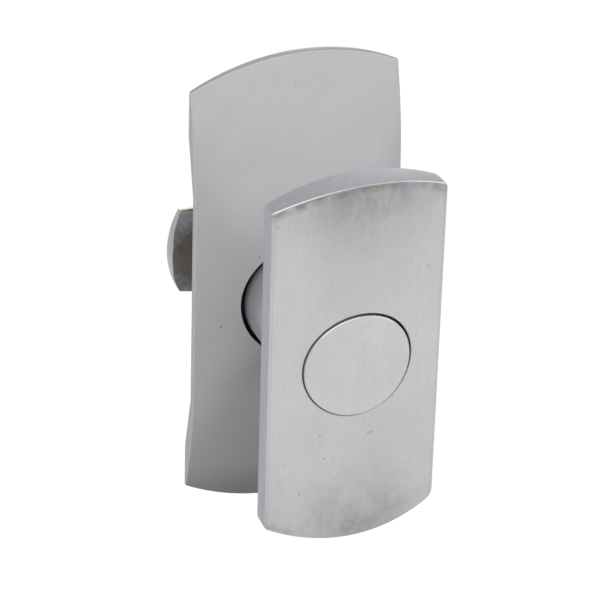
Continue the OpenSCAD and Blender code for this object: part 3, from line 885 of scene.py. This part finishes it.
def with_dirt(tree, colour, colours, dirt):
    """Colour of the grip: darker towards its arched ends, a dirty seam under the upper edge and lines along
    the sides.
    """
    end_gap = attribute(tree, "end_gap")
    across, _, up = split(tree, spot_in(tree))
    off_middle = size_of(tree, math_node(tree, "SUBTRACT", across, dirt.middle))
    middle = ramp_node(tree, off_middle, dirt.middle_from, dirt.middle_to, 1.0, dirt.sides)
    # Darker towards the arched ends, most down the middle; the haze darkens the middle evenly.
    near_end = math_node(tree, "EXPONENT", product(tree, end_gap, -1 / dirt.end_reach))
    dull = product(
        tree,
        math_node(tree, "MINIMUM", near_end, dirt.end_most),
        middle,
        dirt.end_depth,
        ramp_node(tree, patches(tree, 160.0, *CLOSE_TONES), 0.0, 1.0, 0.8, 1.15),
        ramp_node(tree, use_group(tree, "Brushing", Across=650.0, Along=330.0), *CLOSE_TONES, 0.86, 1.14),
    )
    dull = math_node(tree, "ADD", dull, product(tree, middle, dirt.haze))
    colour = mix_node(tree, dull, colour, tuple(colours.grime))
    fine = patches(tree, 420.0, 0.22, 0.66)
    seam = product(
        tree,
        ramp_node(tree, end_gap, dirt.seam_from, dirt.seam_to, dirt.seam_depth, 0.0),
        fine,
        ramp_node(tree, end_gap, dirt.bevel_from, dirt.bevel_to),
        ramp_node(tree, up, dirt.upper_from, dirt.upper_to),
        ramp_node(tree, across, dirt.left_full, dirt.right_thin, 1.0, dirt.right_share),
    )
    colour = mix_node(tree, seam, colour, tuple(colours.seam_dirt))
    begins, full = dirt.corner_x_from * dirt.corner_z, dirt.corner_x_to * dirt.corner_z
    corner = product(
        tree,
        ramp_node(tree, end_gap, dirt.corner_from, dirt.corner_to, dirt.corner_depth, 0.0),
        fine,
        ramp_node(tree, product(tree, across, up), begins, full),
    )
    colour = mix_node(tree, corner, colour, tuple(colours.grime))
    from_line = size_of(tree, math_node(tree, "SUBTRACT", size_of(tree, across), dirt.line_x))
    line = ramp_node(tree, from_line, dirt.line_core, dirt.line_w, dirt.line_depth, 0.0)
    return mix_node(tree, line, colour, tuple(colours.grime))


def brushed_material(name, colours, dirt):
    """Brushed metal face with plainer sides, darker partly as painted shade, and end faces painted darker
    still as painted shade; on the grip the face also darkens towards its ends and carries dirt along its
    upper edge.
    """
    grimy = name == "brushed_grip"
    material, tree, shader = new_material(name, 0.85)
    lines = use_group(tree, "Brushing", Across=4200.0, Along=90.0)
    wide_lines = use_group(tree, "Brushing", Across=900.0, Along=30.0)
    colour = toned(tree, tuple(colours.face), lines, 0.03)
    colour = toned(tree, colour, wide_lines, 0.008)
    colour = toned(tree, colour, use_group(tree, "Grain", Scale=2400.0), 0.05)
    colour = toned(tree, colour, use_group(tree, "Grain", Scale=70.0), 0.025)
    if grimy:
        colour = with_dirt(tree, colour, colours, dirt)
    colour = with_marks(tree, colour, GRIP_MARKS if grimy else BUTTON_MARKS, colours.face_mark)
    on_face = attribute(tree, "on_face")
    # Sides keep their own plainer finish with painted shade on it; faces turned up or down take the darker
    # end colour as painted shade.
    level = size_of(tree, split(tree, spot_in(tree, "Normal"))[2])
    edge = mix_node(tree, ramp_node(tree, level, 0.5, 0.8), tuple(colours.edge), tuple(colours.end))
    edge = toned(tree, edge, use_group(tree, "Grain", Scale=900.0), 0.04)
    colour = mix_node(tree, on_face, edge, colour)
    satin = ramp_node(tree, lines, *WIDE_TONES, 0.36, 0.46)
    rough = math_node(tree, "ADD", satin, ramp_node(tree, on_face, 0.0, 1.0, 0.1, 0.0))
    dress(tree, shader, colour, rough, lines, 0.012, 0.5)
    return material


def turned_material(name, colours, _):
    """Turned metal with fine rings round its axis."""
    material, tree, shader = new_material(name, 0.8)
    rings = noise(tree, vector_node(tree, "MULTIPLY", spot_in(tree), (60.0, 5200.0, 60.0)), 1.0, 2.0)
    colour = toned(tree, tuple(colours.hub), rings, 0.05)
    colour = toned(tree, colour, use_group(tree, "Grain", Scale=160.0), 0.03)
    dress(tree, shader, colour, ramp_node(tree, rings, *WIDE_TONES, 0.36, 0.48), rings, 0.01, 0.4)
    return material


def zinc_material(name, colours, _):
    """Passivated zinc: pale, with warm and cool clouds."""
    material, tree, shader = new_material(name, 0.9)
    grain = use_group(tree, "Grain", Scale=1800.0)
    colour = mix_node(tree, patches(tree, 150.0, 0.38, 0.66), tuple(colours.zinc), tuple(colours.zinc_cloud))
    colour = toned(tree, colour, grain, 0.07)
    dress(tree, shader, colour, ramp_node(tree, grain, *CLOSE_TONES, 0.3, 0.44), grain, 0.012, 0.4)
    return material


def cam_material(name, colours, _):
    """Cam: pale cut edges, with painted shade on the faces turned to the front, a dark brownish flat and dark
    bluish ramps, and on the front part of the long sides.
    """
    material, tree, shader = new_material(name, 0.75)
    _, facing, facing_z = split(tree, spot_in(tree, "Normal"))
    depth = split(tree, spot_in(tree))[1]
    cloud = patches(tree, 260.0, 0.35, 0.7)
    grain = use_group(tree, "Grain", Scale=1500.0)
    # Painted shade on the faces turned to the front: a dark brownish flat and dark bluish ramps.
    flat = mix_node(tree, cloud, tuple(colours.cam_flat_shade), tuple(colours.cam_flat_shade_cloud))
    ramps = mix_node(tree, cloud, tuple(colours.cam_ramp_shade), tuple(colours.cam_ramp_shade_cloud))
    front_shade = mix_node(tree, ramp_node(tree, facing, -0.97, -0.91), flat, ramps)
    edge = mix_node(tree, cloud, tuple(colours.zinc), tuple(colours.cam_edge_cloud))
    # Painted shade: the front part of the long sides, which turn up and down, is darkened, with a pale strip
    # left at the back edge.
    side_shade = ramp_node(tree, depth, CAM_HIGH.y - 1.6 * MM, CAM_HIGH.y - 1.2 * MM, 1.0, 0.0)
    side_shade = product(tree, side_shade, ramp_node(tree, size_of(tree, facing_z), 0.8, 0.95))
    edge = mix_node(tree, side_shade, edge, tuple(colours.cam_side_shade))
    colour = mix_node(tree, ramp_node(tree, facing, -0.6, -0.3), front_shade, edge)
    colour = toned(tree, colour, grain, 0.1)
    dress(tree, shader, colour, ramp_node(tree, grain, *CLOSE_TONES, 0.32, 0.48), grain, 0.015, 0.4)
    return material


# Colour, roughness, metal, shine, scale of the grain and its swing.
PLAIN_FINISHES = {
    "bright_steel": ("steel", 0.3, 1.0, 0.5, 2200.0, 0.06),
    "spring_steel": ("dark_steel", 0.45, 0.8, 0.5, 1600.0, 0.12),
    # The seal's near-black colour and low shine are partly painted shade for the deep gap round the hub.
    "seal_rubber": ("rubber", 0.7, 0.0, 0.06, 1400.0, 0.15),
    "bush_plastic": ("bush", 0.5, 0.0, 0.5, 1200.0, 0.1),
    "washer_plastic": ("washer", 0.45, 0.0, 0.5, 1200.0, 0.05),
}


def plain_material(name, colours, _):
    """Moulded or drawn material with an even grain."""
    key, rough, metallic, shine, scale, swing = PLAIN_FINISHES[name]
    material, tree, shader = new_material(name, metallic)
    shader.inputs["Specular IOR Level"].default_value = shine
    grain = use_group(tree, "Grain", Scale=scale)
    colour = toned(tree, tuple(getattr(colours, key)), grain, swing)
    rough = ramp_node(tree, grain, *CLOSE_TONES, rough - 0.05, rough + 0.05)
    dress(tree, shader, colour, rough, grain, 0.01, 0.3)
    return material


MATERIAL_MAKERS = {
    "blasted_alloy": blasted_material,
    "brushed_grip": brushed_material,
    "brushed_button": brushed_material,
    "turned_alloy": turned_material,
    "zinc_steel": zinc_material,
    "cam_zinc": cam_material,
    **{name: plain_material for name in PLAIN_FINISHES},
}


def coat(piece, name):
    """Gives a piece its one material, building the material the first time."""
    scene = bpy.context.scene
    material = bpy.data.materials.get("finish_" + name)
    if material is None:
        material = MATERIAL_MAKERS[name](name, scene.handle_finish, scene.handle_dirt)
    piece.data.materials.clear()
    piece.data.materials.append(material)


def settle(piece, body, node, material):
    """Gives a new piece its material and its body, and hides the node that it stands for."""
    coat(piece, material)
    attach(piece, body)
    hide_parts(node)


class HANDLE_OT_escutcheon(bpy.types.Operator):
    """Builds the crowned escutcheon plate with its barrel"""

    bl_idname = "handle.escutcheon"
    bl_label = "Escutcheon plate"

    def execute(self, context):
        s = context.scene.handle_plate
        outline = ArchedOutline(s.width, s.height, s.rise, [s.corner_r] * 4)
        corner = s.height / 2 - s.rise
        height = self.face(s, corner)
        edges = outline.from_side_to_end(s.side_edge_r, s.end_edge_r)
        shell = Shell("escutcheon_plate")
        shell.hole_edge(outline, height, s.hole_r, s.hole_edge_r)
        shell.face(height, outline.circle(s.hole_r + s.hole_edge_r), outline.loop(edges), 64)
        shell.front_edge(outline, height, edges, 1.0)
        shell.back_edge(outline, 0.0, s.back_edge_r, 3)
        part_way = 0.4
        shell.ring(between(outline.circle(s.barrel_r), outline.loop(0.0), part_way), 0.0)
        barrel = [
            (s.barrel_r, 0.0),
            (s.barrel_r, -s.barrel_l + s.barrel_edge),
            (s.barrel_r - s.barrel_edge, -s.barrel_l),
            (s.bore_r, -s.barrel_l),
            (s.bore_r, -s.chamber_floor),
            (s.chamber_r, -s.chamber_floor),
            (s.chamber_r, s.seat),
            (s.hole_r, s.seat),
        ]
        shell.turn(outline.circle, barrel)
        shell.join_ends()
        plate = shell.build()
        self.hollow(plate, s, corner)
        smooth(plate.data)
        self.crisp_back(plate.data)
        settle(plate, "base", "escutcheon", "blasted_alloy")
        return {"FINISHED"}

    @staticmethod
    def face(s, corner):
        """Function for the height of the face: the crown, cut off by a curved band at each end."""
        crown_r = arc_radius(s.width, s.crown)
        across_r = arc_radius(s.width, s.end_crown)
        # Circle through the middle, the level of the corners and the tip.
        p = Vector((0.0, s.top + s.end_lift))
        q = Vector((corner, s.shoulder_t))
        r = Vector((s.height / 2, s.tip_t))
        d = 2 * (p.x * (q.y - r.y) + q.x * (r.y - p.y) + r.x * (p.y - q.y))
        centre_x = (p.dot(p) * (q.y - r.y) + q.dot(q) * (r.y - p.y) + r.dot(r) * (p.y - q.y)) / d
        centre_y = (p.dot(p) * (r.x - q.x) + q.dot(q) * (p.x - r.x) + r.dot(r) * (q.x - p.x)) / d
        band_r = math.hypot(p.x - centre_x, p.y - centre_y)

        def height(x, y):
            reach = band_r - fall(across_r, x)
            ends = [
                centre_y + math.sqrt(max(reach * reach - (side * y - centre_x) ** 2, 0.0)) for side in (1, -1)
            ]
            blend = s.blend + s.side_blend * (2 * x / s.width) ** 2
            return soft_least([s.top - fall(crown_r, x), *ends], blend)

        return height

    @staticmethod
    def crisp_back(mesh):
        """Keeps the edges of the flats on the plate's back crisp, so that each flat shades evenly."""
        level, least_turn = 0.97, math.radians(5)
        work = bmesh.new()
        work.from_mesh(mesh)
        for edge in work.edges:
            flat = any(face.normal.y > level for face in edge.link_faces)
            if flat and len(edge.link_faces) == 2 and edge.calc_face_angle() > least_turn:
                edge.smooth = False
        work.to_mesh(mesh)
        work.free()

    @staticmethod
    def hollow(plate, s, corner):
        """Cuts the relief, the core pockets and the fixing holes into the plate's back."""
        spare = 2 * SPARE
        foot = corner - s.pad_l
        level = foot - s.ramp_l
        side = [(-foot, 0.0), (-level, s.relief), (level, s.relief), (foot, 0.0)]
        side += [(foot, -spare), (-foot, -spare)]
        points = [front(x, y, w) for x in (-s.width, s.width) for y, w in side]
        n = len(side)
        faces = [tuple(range(n)), tuple(range(n, 2 * n))]
        faces += [(i, (i + 1) % n, n + (i + 1) % n, n + i) for i in range(n)]
        mesh = bpy.data.meshes.new("relief")
        mesh.from_pydata(points, [], faces)
        relief = finish_mesh(mesh)
        bore(relief, s.barrel_r + s.collar, (0.0, 0.0), -2 * spare, s.relief + spare, 128)
        fixings = [(0.0, flip * s.fixing_pitch / 2) for flip in (-1, 1)]
        for fixing in fixings:
            bore(relief, s.boss_r, fixing, -2 * spare, s.relief + spare, 64)
        carve(plate, relief)
        low, high = s.hole_r + s.core_gap, s.fixing_pitch / 2 - s.boss_r - s.core_gap
        x, near, far = s.core_w / 2 - s.core_r, low + s.core_r, high - s.core_r
        for flip, fixing in zip((-1, 1), fixings):
            pocket = []
            for cx, cy, start in ((x, far, 0), (-x, far, 90), (-x, near, 180), (x, near, 270)):
                turns = [math.radians(start + k * 90 / 8) for k in range(9)]
                pocket += [(cx + s.core_r * math.cos(a), flip * (cy + s.core_r * math.sin(a))) for a in turns]
            carve(plate, prism("core", pocket, s.relief - spare, s.relief + s.core_depth))
            bore(plate, s.fixing_r, fixing, -spare, s.fixing_depth, 48)


class HANDLE_OT_grip(bpy.types.Operator):
    """Builds the crowned grip plate with its neck"""

    bl_idname = "handle.grip"
    bl_label = "Grip plate"

    def execute(self, context):
        s, hub = context.scene.handle_grip, context.scene.handle_hub
        outline = ArchedOutline(s.width, s.height, s.rise, list(s.corner_rs))
        behind = ArchedOutline(s.width, s.height, s.rise, list(s.back_corner_rs))
        crown_r = arc_radius(s.width, s.crown)

        def height(x, y):
            off = (math.hypot(x, y) - s.recess_r) / s.dish_w
            return s.face - fall(crown_r, x) - s.dish * math.exp(-off * off)

        recess = [
            (hub.stem_bore_r, s.neck_end),
            (hub.stem_bore_r, s.recess_floor),
            (s.recess_r - s.recess_foot, s.recess_floor),
            (s.recess_r, s.recess_floor + s.recess_foot),
        ]
        fillet = [
            (s.neck_r + s.neck_fillet * (1 - math.sin(a)), s.back - s.neck_fillet * (1 - math.cos(a)))
            for a in quarter(6)[1:]
        ]
        neck = [(s.neck_r, s.neck_end + s.neck_edge), (s.neck_r - s.neck_edge, s.neck_end)]
        edges = outline.from_side_to_end(s.edge_r, s.edge_r)
        shell = Shell("grip_plate")
        shell.turn(outline.circle, recess)
        shell.hole_edge(outline, height, s.recess_r, s.recess_edge_r)
        shell.face(height, outline.circle(s.recess_r + s.recess_edge_r), outline.loop(s.edge_r), 48)
        shell.front_edge(outline, height, edges, outline.from_side_to_end(s.side_shine, s.end_shine))
        shell.back_edge(behind, s.back, s.back_edge_r, 4)
        inner = outline.circle(s.neck_r + s.neck_fillet)
        outer = behind.loop(s.back_edge_r)
        for share in reversed(eased(20)[:-1]):
            shell.ring(between(inner, outer, share), s.back)
        shell.turn(outline.circle, fillet + neck)
        shell.join_ends()
        grip = shell.build([("end_gap", [outline.end_gap(x, z) for x, _, z in shell.points])])
        self.drill(grip, s, hub)
        smooth(grip.data)
        settle(grip, "handle", "grip", "brushed_grip")
        return {"FINISHED"}

    @staticmethod
    def drill(grip, s, hub):
        """Cuts the countersunk screw holes and the dowel holes."""
        profile = [
            (hub.screw_r, s.neck_end - SPARE),
            (hub.screw_r, s.recess_floor - (hub.screw_head_r - hub.screw_r)),
            (hub.screw_head_r, s.recess_floor),
            (hub.screw_head_r, s.recess_floor + SPARE),
        ]
        for centre in disc_outline(hub.screw_ring_r, 4, start=math.pi / 4):
            hole = Shell("screw_hole")
            hole.turn(lambda r, middle=centre: disc_outline(r, 48, middle), profile)
            hole.cap_ends()
            carve(grip, hole.build())
        for centre in disc_outline(hub.dowel_ring_r, 2):
            bore(grip, hub.dowel_r, centre, s.neck_end - SPARE, s.neck_end + hub.dowel_in_grip, 48)


class HANDLE_OT_button(bpy.types.Operator):
    """Builds the push button"""

    bl_idname = "handle.button"
    bl_label = "Push button"

    def execute(self, context):
        s, g = context.scene.handle_button, context.scene.handle_grip
        crown_r = arc_radius(g.width, g.crown) + s.proud
        face = g.face + s.proud
        back = face - s.thickness
        wall = 1 * MM

        def circle(r):
            return disc_outline(r, 192, (s.sit_x, s.sit_y))

        shell = Shell("push_button_disc")
        flat_r = s.radius - s.edge_r
        rings = [(flat_r * share, 0.0, 1.0) for share in eased(24)[1:]]
        for a in quarter(5)[1:]:
            rings.append((flat_r + s.edge_r * math.sin(a), s.edge_r * (1 - math.cos(a)), s.edge_shine))
        for r, drop, on_face in rings:
            loop = circle(r)
            shell.ring(loop, [face - fall(crown_r, x) - drop for x, _ in loop], on_face)
        behind = [
            (s.radius, back + wall),
            (s.radius, back),
            (s.boss_r, back),
            (s.boss_r, -BUTTON_HIGH.y),
            (s.bore_r, -BUTTON_HIGH.y),
            (s.bore_r, back + s.bore_in),
            (s.bore_r / 2, back + s.bore_in),
        ]
        shell.turn(circle, rounded(behind, s.back_edge_r))
        shell.cap_ends()
        settle(shell.build(), "button", "push_button", "brushed_button")
        return {"FINISHED"}


class HANDLE_OT_spindle(bpy.types.Operator):
    """Builds the turned hub with its shank and square"""

    bl_idname = "handle.spindle"
    bl_label = "Hub and spindle"

    def execute(self, context):
        s, top = context.scene.handle_hub, context.scene.handle_grip.neck_end
        ring_low, ring_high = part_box("retaining_ring")
        half = s.square_a / 2
        profile = [
            (s.stem_bore_r / 2, -s.stem_bore_end),
            (s.stem_bore_r, -s.stem_bore_end),
            (s.stem_bore_r, s.well_floor),
            (s.well_r, s.well_floor),
            (s.well_r, top),
            (s.hub_r, top),
            (s.hub_r, s.hub_back),
            (s.shank_r, s.hub_back),
            (s.shank_r, -ring_low.y),
            (s.groove_r, -ring_low.y),
            (s.groove_r, -ring_high.y),
            (s.shank_r, -ring_high.y),
            (s.shank_r, -s.shank_end),
            (half, -s.shank_end),
        ]
        spindle = lathe("spindle_turned", rounded(profile, s.hub_edge_r))
        square = prism("square", box_outline(half, half), -SPINDLE_HIGH.y, -s.shank_end + SPARE)
        carve(spindle, square, "UNION")
        self.drill(spindle, s, top)
        smooth(spindle.data)
        settle(spindle, "handle", "spindle", "turned_alloy")
        return {"FINISHED"}

    @staticmethod
    def drill(spindle, s, top):
        """Cuts the pin's slot and the holes for the bolt, the grip's screws and the dowels."""
        slot = box_outline(2 * s.shank_r, s.slot_w / 2)
        carve(spindle, prism("pin_slot", slot, -s.slot_low, s.slot_high))
        bore(spindle, s.bolt_hole_r, (0.0, 0.0), -SPINDLE_HIGH.y - SPARE, -s.bolt_hole_end, 64)
        for centre in disc_outline(s.screw_ring_r, 4, start=math.pi / 4):
            bore(spindle, s.screw_r, centre, s.screw_end, top + SPARE, 32)
        for centre in disc_outline(s.dowel_ring_r, 2):
            bore(spindle, s.dowel_r, centre, top - s.dowel_in_hub, top + SPARE, 32)


class HANDLE_OT_spring(bpy.types.Operator):
    """Builds the button's coil spring"""

    bl_idname = "handle.spring"
    bl_label = "Button spring"

    def execute(self, context):
        s = context.scene.handle_spring
        low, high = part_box("button_spring")
        free = high.y - low.y
        bottom, span = -high.y + s.wire_r, free - 2 * s.wire_r
        slow = s.closed * s.closed_pitch
        pitch = (span - 2 * slow) / (s.turns - 2 * s.closed)
        wire = disc_outline(s.wire_r, 12)
        per_turn = 48
        shell = Shell("button_coil")
        for k in range(int(s.turns * per_turn) + 1):
            turn = k / per_turn
            from_end = min(turn, s.turns - turn)
            rise = min(from_end, s.closed) * s.closed_pitch + max(from_end - s.closed, 0.0) * pitch
            level = bottom + (rise if turn < s.turns / 2 else span - rise)
            a = 2 * math.pi * turn
            loop = [((s.coil_r + out) * math.cos(a), (s.coil_r + out) * math.sin(a)) for out, _ in wire]
            shell.ring(loop, [level + up for _, up in wire])
        shell.cap_ends()
        coil = shell.build()
        settle(coil, "handle", "button_spring", "bright_steel")
        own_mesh(coil)
        return {"FINISHED"}


class HANDLE_OT_seal(bpy.types.Operator):
    """Builds the rubber seal round the hub"""

    bl_idname = "handle.seal"
    bl_label = "Hub seal"

    def execute(self, context):
        s = context.scene.handle_hub
        low = -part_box("seal_ring")[1].y
        seal = flat_ring("seal_ring_lip", s.seal_in_r, s.seal_out_r, low, s.seal_top, s.seal_edge_r)
        settle(seal, "base", "seal_ring", "seal_rubber")
        return {"FINISHED"}


class HANDLE_OT_cam(bpy.types.Operator):
    """Builds the cam with its lead-in ramps"""

    bl_idname = "handle.cam"
    bl_label = "Cam"

    def execute(self, context):
        s, hub = context.scene.handle_cam, context.scene.handle_hub
        top, bottom = -CAM_LOW.y, -CAM_HIGH.y
        work = bmesh.new()
        self.blank(work, s, bottom, top)
        for side in (-1, 1):
            self.ramp(work, s, side, top)
        bmesh.ops.recalc_face_normals(work, faces=work.faces)
        bmesh.ops.remove_doubles(work, verts=work.verts, dist=0.01 * MM)
        crease = math.radians(20)
        sharp = [e for e in work.edges if len(e.link_faces) == 2 and e.calc_face_angle() > crease]
        bmesh.ops.bevel(
            work, geom=sharp, offset=s.edge_r, segments=3, profile=0.5, affect="EDGES", clamp_overlap=True
        )
        mesh = bpy.data.meshes.new("cam_plate")
        work.to_mesh(mesh)
        work.free()
        cam = finish_mesh(mesh)
        half = hub.square_a / 2 + hub.square_play
        carve(cam, prism("square_hole", box_outline(half, half), bottom - SPARE, top + SPARE))
        smooth(cam.data, math.radians(30))
        settle(cam, "handle", "cam", "cam_zinc")
        return {"FINISHED"}

    @staticmethod
    def blank(work, s, bottom, top):
        """Flat bar, round at the spindle and with an arc at its tip."""
        half = s.width / 2
        tip = math.asin(half / s.tip_r)
        round_end = [math.pi * (k / 48 - 0.5) for k in range(49)]
        tip_end = [math.pi - tip + 2 * tip * k / 40 for k in range(41)]
        outline = [(half * math.cos(a), half * math.sin(a)) for a in round_end]
        outline += [(s.tip_r * math.cos(a), s.tip_r * math.sin(a)) for a in tip_end]
        low = [work.verts.new(front(x, y, bottom)) for x, y in outline]
        high = [work.verts.new(front(x, y, top)) for x, y in outline]
        work.faces.new(low)
        work.faces.new(high)
        for i in range(len(outline)):
            j = (i + 1) % len(outline)
            work.faces.new((low[i], low[j], high[j], high[i]))

    @staticmethod
    def ramp(work, s, side, top):
        """Cuts one lead-in ramp off the tip's front."""
        slope, crease = s.ramp_angle, s.crease_angle
        lean = (
            -math.sin(slope) * math.sin(crease),
            side * math.sin(slope) * math.cos(crease),
            math.cos(slope),
        )
        cut = bmesh.ops.bisect_plane(
            work,
            geom=work.verts[:] + work.edges[:] + work.faces[:],
            plane_co=Vector(front(-s.tip_r, side * s.flat / 2, top)),
            plane_no=Vector(front(*lean)),
            clear_outer=True,
        )
        rim = [e for e in cut["geom_cut"] if isinstance(e, bmesh.types.BMEdge)]
        bmesh.ops.holes_fill(work, edges=rim)


class HANDLE_OT_hardware(bpy.types.Operator):
    """Builds the washers and the bolt behind the plate"""

    bl_idname = "handle.hardware"
    bl_label = "Washers and bolt"

    def execute(self, context):
        s = context.scene.handle_cam
        for node, inner in (("thrust_washer", s.thrust_bore_r), ("cam_washer", s.washer_bore_r)):
            low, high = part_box(node)
            washer = flat_ring(node + "_ring", inner, high.x, -high.y, -low.y, s.washer_edge_r)
            settle(washer, "handle", node, "zinc_steel")
        settle(self.bolt(s), "handle", "cam_bolt", "zinc_steel")
        return {"FINISHED"}

    @staticmethod
    def bolt(s):
        """Hexagon bolt with a chamfered head and a turned washer face."""
        low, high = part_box("cam_bolt")
        end, tip = -high.y, -low.y
        seat = -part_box("spring_washer")[1].y
        points = 60
        sixth = math.pi / 3
        crown = s.bolt_flats / 2 - s.bolt_face
        rise = math.tan(s.bolt_slope)
        back_share = 0.3
        circle = disc_outline(1.0, points)
        turns = [2 * math.pi * k / points for k in range(points)]
        hexagon = [s.bolt_flats / 2 / math.cos((a % sixth) - sixth / 2) for a in turns]
        flats = [(r * x, r * y) for r, (x, y) in zip(hexagon, circle)]

        def disc(r):
            return disc_outline(r, points)

        shell = Shell("cam_bolt_hex")
        shell.turn(disc, [(crown / 2, end), (crown, end)])
        shell.ring(flats, [end + (r - crown) * rise for r in hexagon])
        shell.ring(flats, [seat - s.bolt_face - (r - crown) * rise * back_share for r in hexagon])
        shank = [(s.bolt_r, seat), (s.bolt_r, tip - s.bolt_tip), (s.bolt_r - s.bolt_tip, tip)]
        shell.turn(disc, [(crown, seat - s.bolt_face), (crown, seat), *shank])
        shell.cap_ends()
        return shell.build()


class HANDLE_OT_inner(bpy.types.Operator):
    """Gives the nodes that stay as they are their finishes"""

    bl_idname = "handle.inner"
    bl_label = "Inner pieces"

    def execute(self, context):
        slots = {row["node"]: row["material_slot"] for row in frame["record"]["subparts"]}
        for name, node in frame["nodes"].items():
            if not node.hide_render:
                coat(node, slots[name])
        return {"FINISHED"}


class HANDLE_OT_stage(bpy.types.Operator):
    """Builds the floor, the light and the camera"""

    bl_idname = "handle.stage"
    bl_label = "Stage"

    def execute(self, context):
        scene, s = context.scene, context.scene.handle_stage
        scene.view_settings.view_transform = "Standard"
        self.floor(scene, s)
        self.world(scene, s)
        for name, (spot, size, colour) in LAMPS.items():
            data = bpy.data.lights.new(name, "AREA")
            data.color, data.size, data.energy = colour, size, getattr(s, name)
            self.put(scene, name, data, spot, (0.0, 0.0, 0.0))
        data = bpy.data.cameras.new("photo_camera")
        data.lens, data.sensor_width = s.lens, s.sensor
        data.clip_start, data.clip_end = 0.05, 50.0
        scene.camera = self.put(scene, "photo_camera", data, s.camera, s.aim, s.roll)
        return {"FINISHED"}

    @staticmethod
    def put(scene, name, data, spot, aim, roll=0.0):
        """Places a lamp or the camera so that it looks at a point."""
        made = bpy.data.objects.new(name, data)
        gaze = (Vector(aim) - Vector(spot)).to_track_quat("-Z", "Y") @ Quaternion((0, 0, 1), roll)
        made.matrix_world = Matrix.LocRotScale(Vector(spot), gaze, None)
        scene.collection.objects.link(made)
        return made

    @staticmethod
    def shown(tree):
        """1 for rays that show the background: from the camera, in metal and through glass."""
        path = tree.nodes.new("ShaderNodeLightPath").outputs
        mirrored = math_node(tree, "MAXIMUM", path["Is Glossy Ray"], path["Is Transmission Ray"])
        return math_node(tree, "MAXIMUM", path["Is Camera Ray"], mirrored)

    def floor(self, scene, s):
        """Pale floor that shows white and keeps a soft shadow."""
        shell = Shell("floor_sheet")
        shell.turn(lambda r: disc_outline(r, 64), [(r, 0.0) for r in (0.05, 0.4, 1.0, s.floor_r)])
        mesh = bpy.data.meshes.new(shell.name)
        points = [(x, z, s.floor_z) for x, _, z in shell.points]
        mesh.from_pydata(points, [], [*shell.faces, tuple(shell.rings[0])])
        floor = bpy.data.objects.new("floor_sheet", mesh)
        scene.collection.objects.link(floor)
        material = bpy.data.materials.new("pale_floor")
        material.use_nodes = True
        tree = material.node_tree
        tree.nodes.clear()
        output = tree.nodes.new("ShaderNodeOutputMaterial")
        matte = add_node(tree, "ShaderNodeBsdfDiffuse", {"Color": (*s.floor, 1.0)})
        glow = add_node(tree, "ShaderNodeEmission", {"Strength": product(tree, self.shown(tree), s.glow)})
        both = add_node(tree, "ShaderNodeAddShader", {0: matte.outputs[0], 1: glow.outputs[0]})
        tree.links.new(both.outputs[0], output.inputs["Surface"])
        mesh.materials.append(material)

    def world(self, scene, s):
        """Even light all round, which shows as white."""
        world = bpy.data.worlds.new("studio")
        world.use_nodes = True
        tree = world.node_tree
        sky = tree.nodes["Background"]
        upwards = split(tree, spot_in(tree, "Generated"))[2]
        overhead = ramp_node(tree, upwards, s.overhead_from, s.overhead_to, 1.0, s.overhead)
        seen = tree.nodes.new("ShaderNodeLightPath").outputs["Is Camera Ray"]
        mirrored = math_node(tree, "MAXIMUM", overhead, seen)
        strength = {"Value": self.shown(tree), "To Min": s.ambient, "To Max": mirrored}
        strength = add_node(tree, "ShaderNodeMapRange", strength).outputs["Result"]
        sky.inputs["Color"].default_value = (*WHITE, 1.0)
        tree.links.new(strength, sky.inputs["Strength"])
        scene.world = world


class HANDLE_PT_panel(bpy.types.Panel):
    """Lists the pieces of the handle"""

    bl_idname = "HANDLE_PT_panel"
    bl_label = "Enclosure Door Handle"
    bl_space_type = "VIEW_3D"
    bl_region_type = "UI"
    bl_category = "Handle"

    def draw(self, context):
        for operator in OPERATORS:
            self.layout.operator(operator.bl_idname)


SETTINGS = {
    "handle_plate": PlateSettings,
    "handle_grip": GripSettings,
    "handle_button": ButtonSettings,
    "handle_hub": HubSettings,
    "handle_spring": SpringSettings,
    "handle_cam": CamSettings,
    "handle_finish": FinishSettings,
    "handle_dirt": DirtAndShadeSettings,
    "handle_stage": StageSettings,
}
OPERATORS = (
    HANDLE_OT_escutcheon,
    HANDLE_OT_grip,
    HANDLE_OT_button,
    HANDLE_OT_spindle,
    HANDLE_OT_spring,
    HANDLE_OT_seal,
    HANDLE_OT_cam,
    HANDLE_OT_hardware,
    HANDLE_OT_inner,
    HANDLE_OT_stage,
)


def register():
    """Registers the settings, the operators and the panel."""
    for key, group in SETTINGS.items():
        bpy.utils.register_class(group)
        setattr(bpy.types.Scene, key, bpy.props.PointerProperty(type=group))
    for kind in (*OPERATORS, HANDLE_PT_panel):
        bpy.utils.register_class(kind)


def unregister():
    """Takes everything back that register added."""
    for kind in (HANDLE_PT_panel, *reversed(OPERATORS)):
        bpy.utils.unregister_class(kind)
    for key, group in SETTINGS.items():
        delattr(bpy.types.Scene, key)
        bpy.utils.unregister_class(group)


def main():
    """Builds every piece and the stage."""
    register()
    bpy.ops.handle.escutcheon()
    bpy.ops.handle.grip()
    bpy.ops.handle.button()
    bpy.ops.handle.spindle()
    bpy.ops.handle.spring()
    bpy.ops.handle.seal()
    bpy.ops.handle.cam()
    bpy.ops.handle.hardware()
    bpy.ops.handle.inner()
    bpy.ops.handle.stage()


if __name__ == "__main__":
    main()
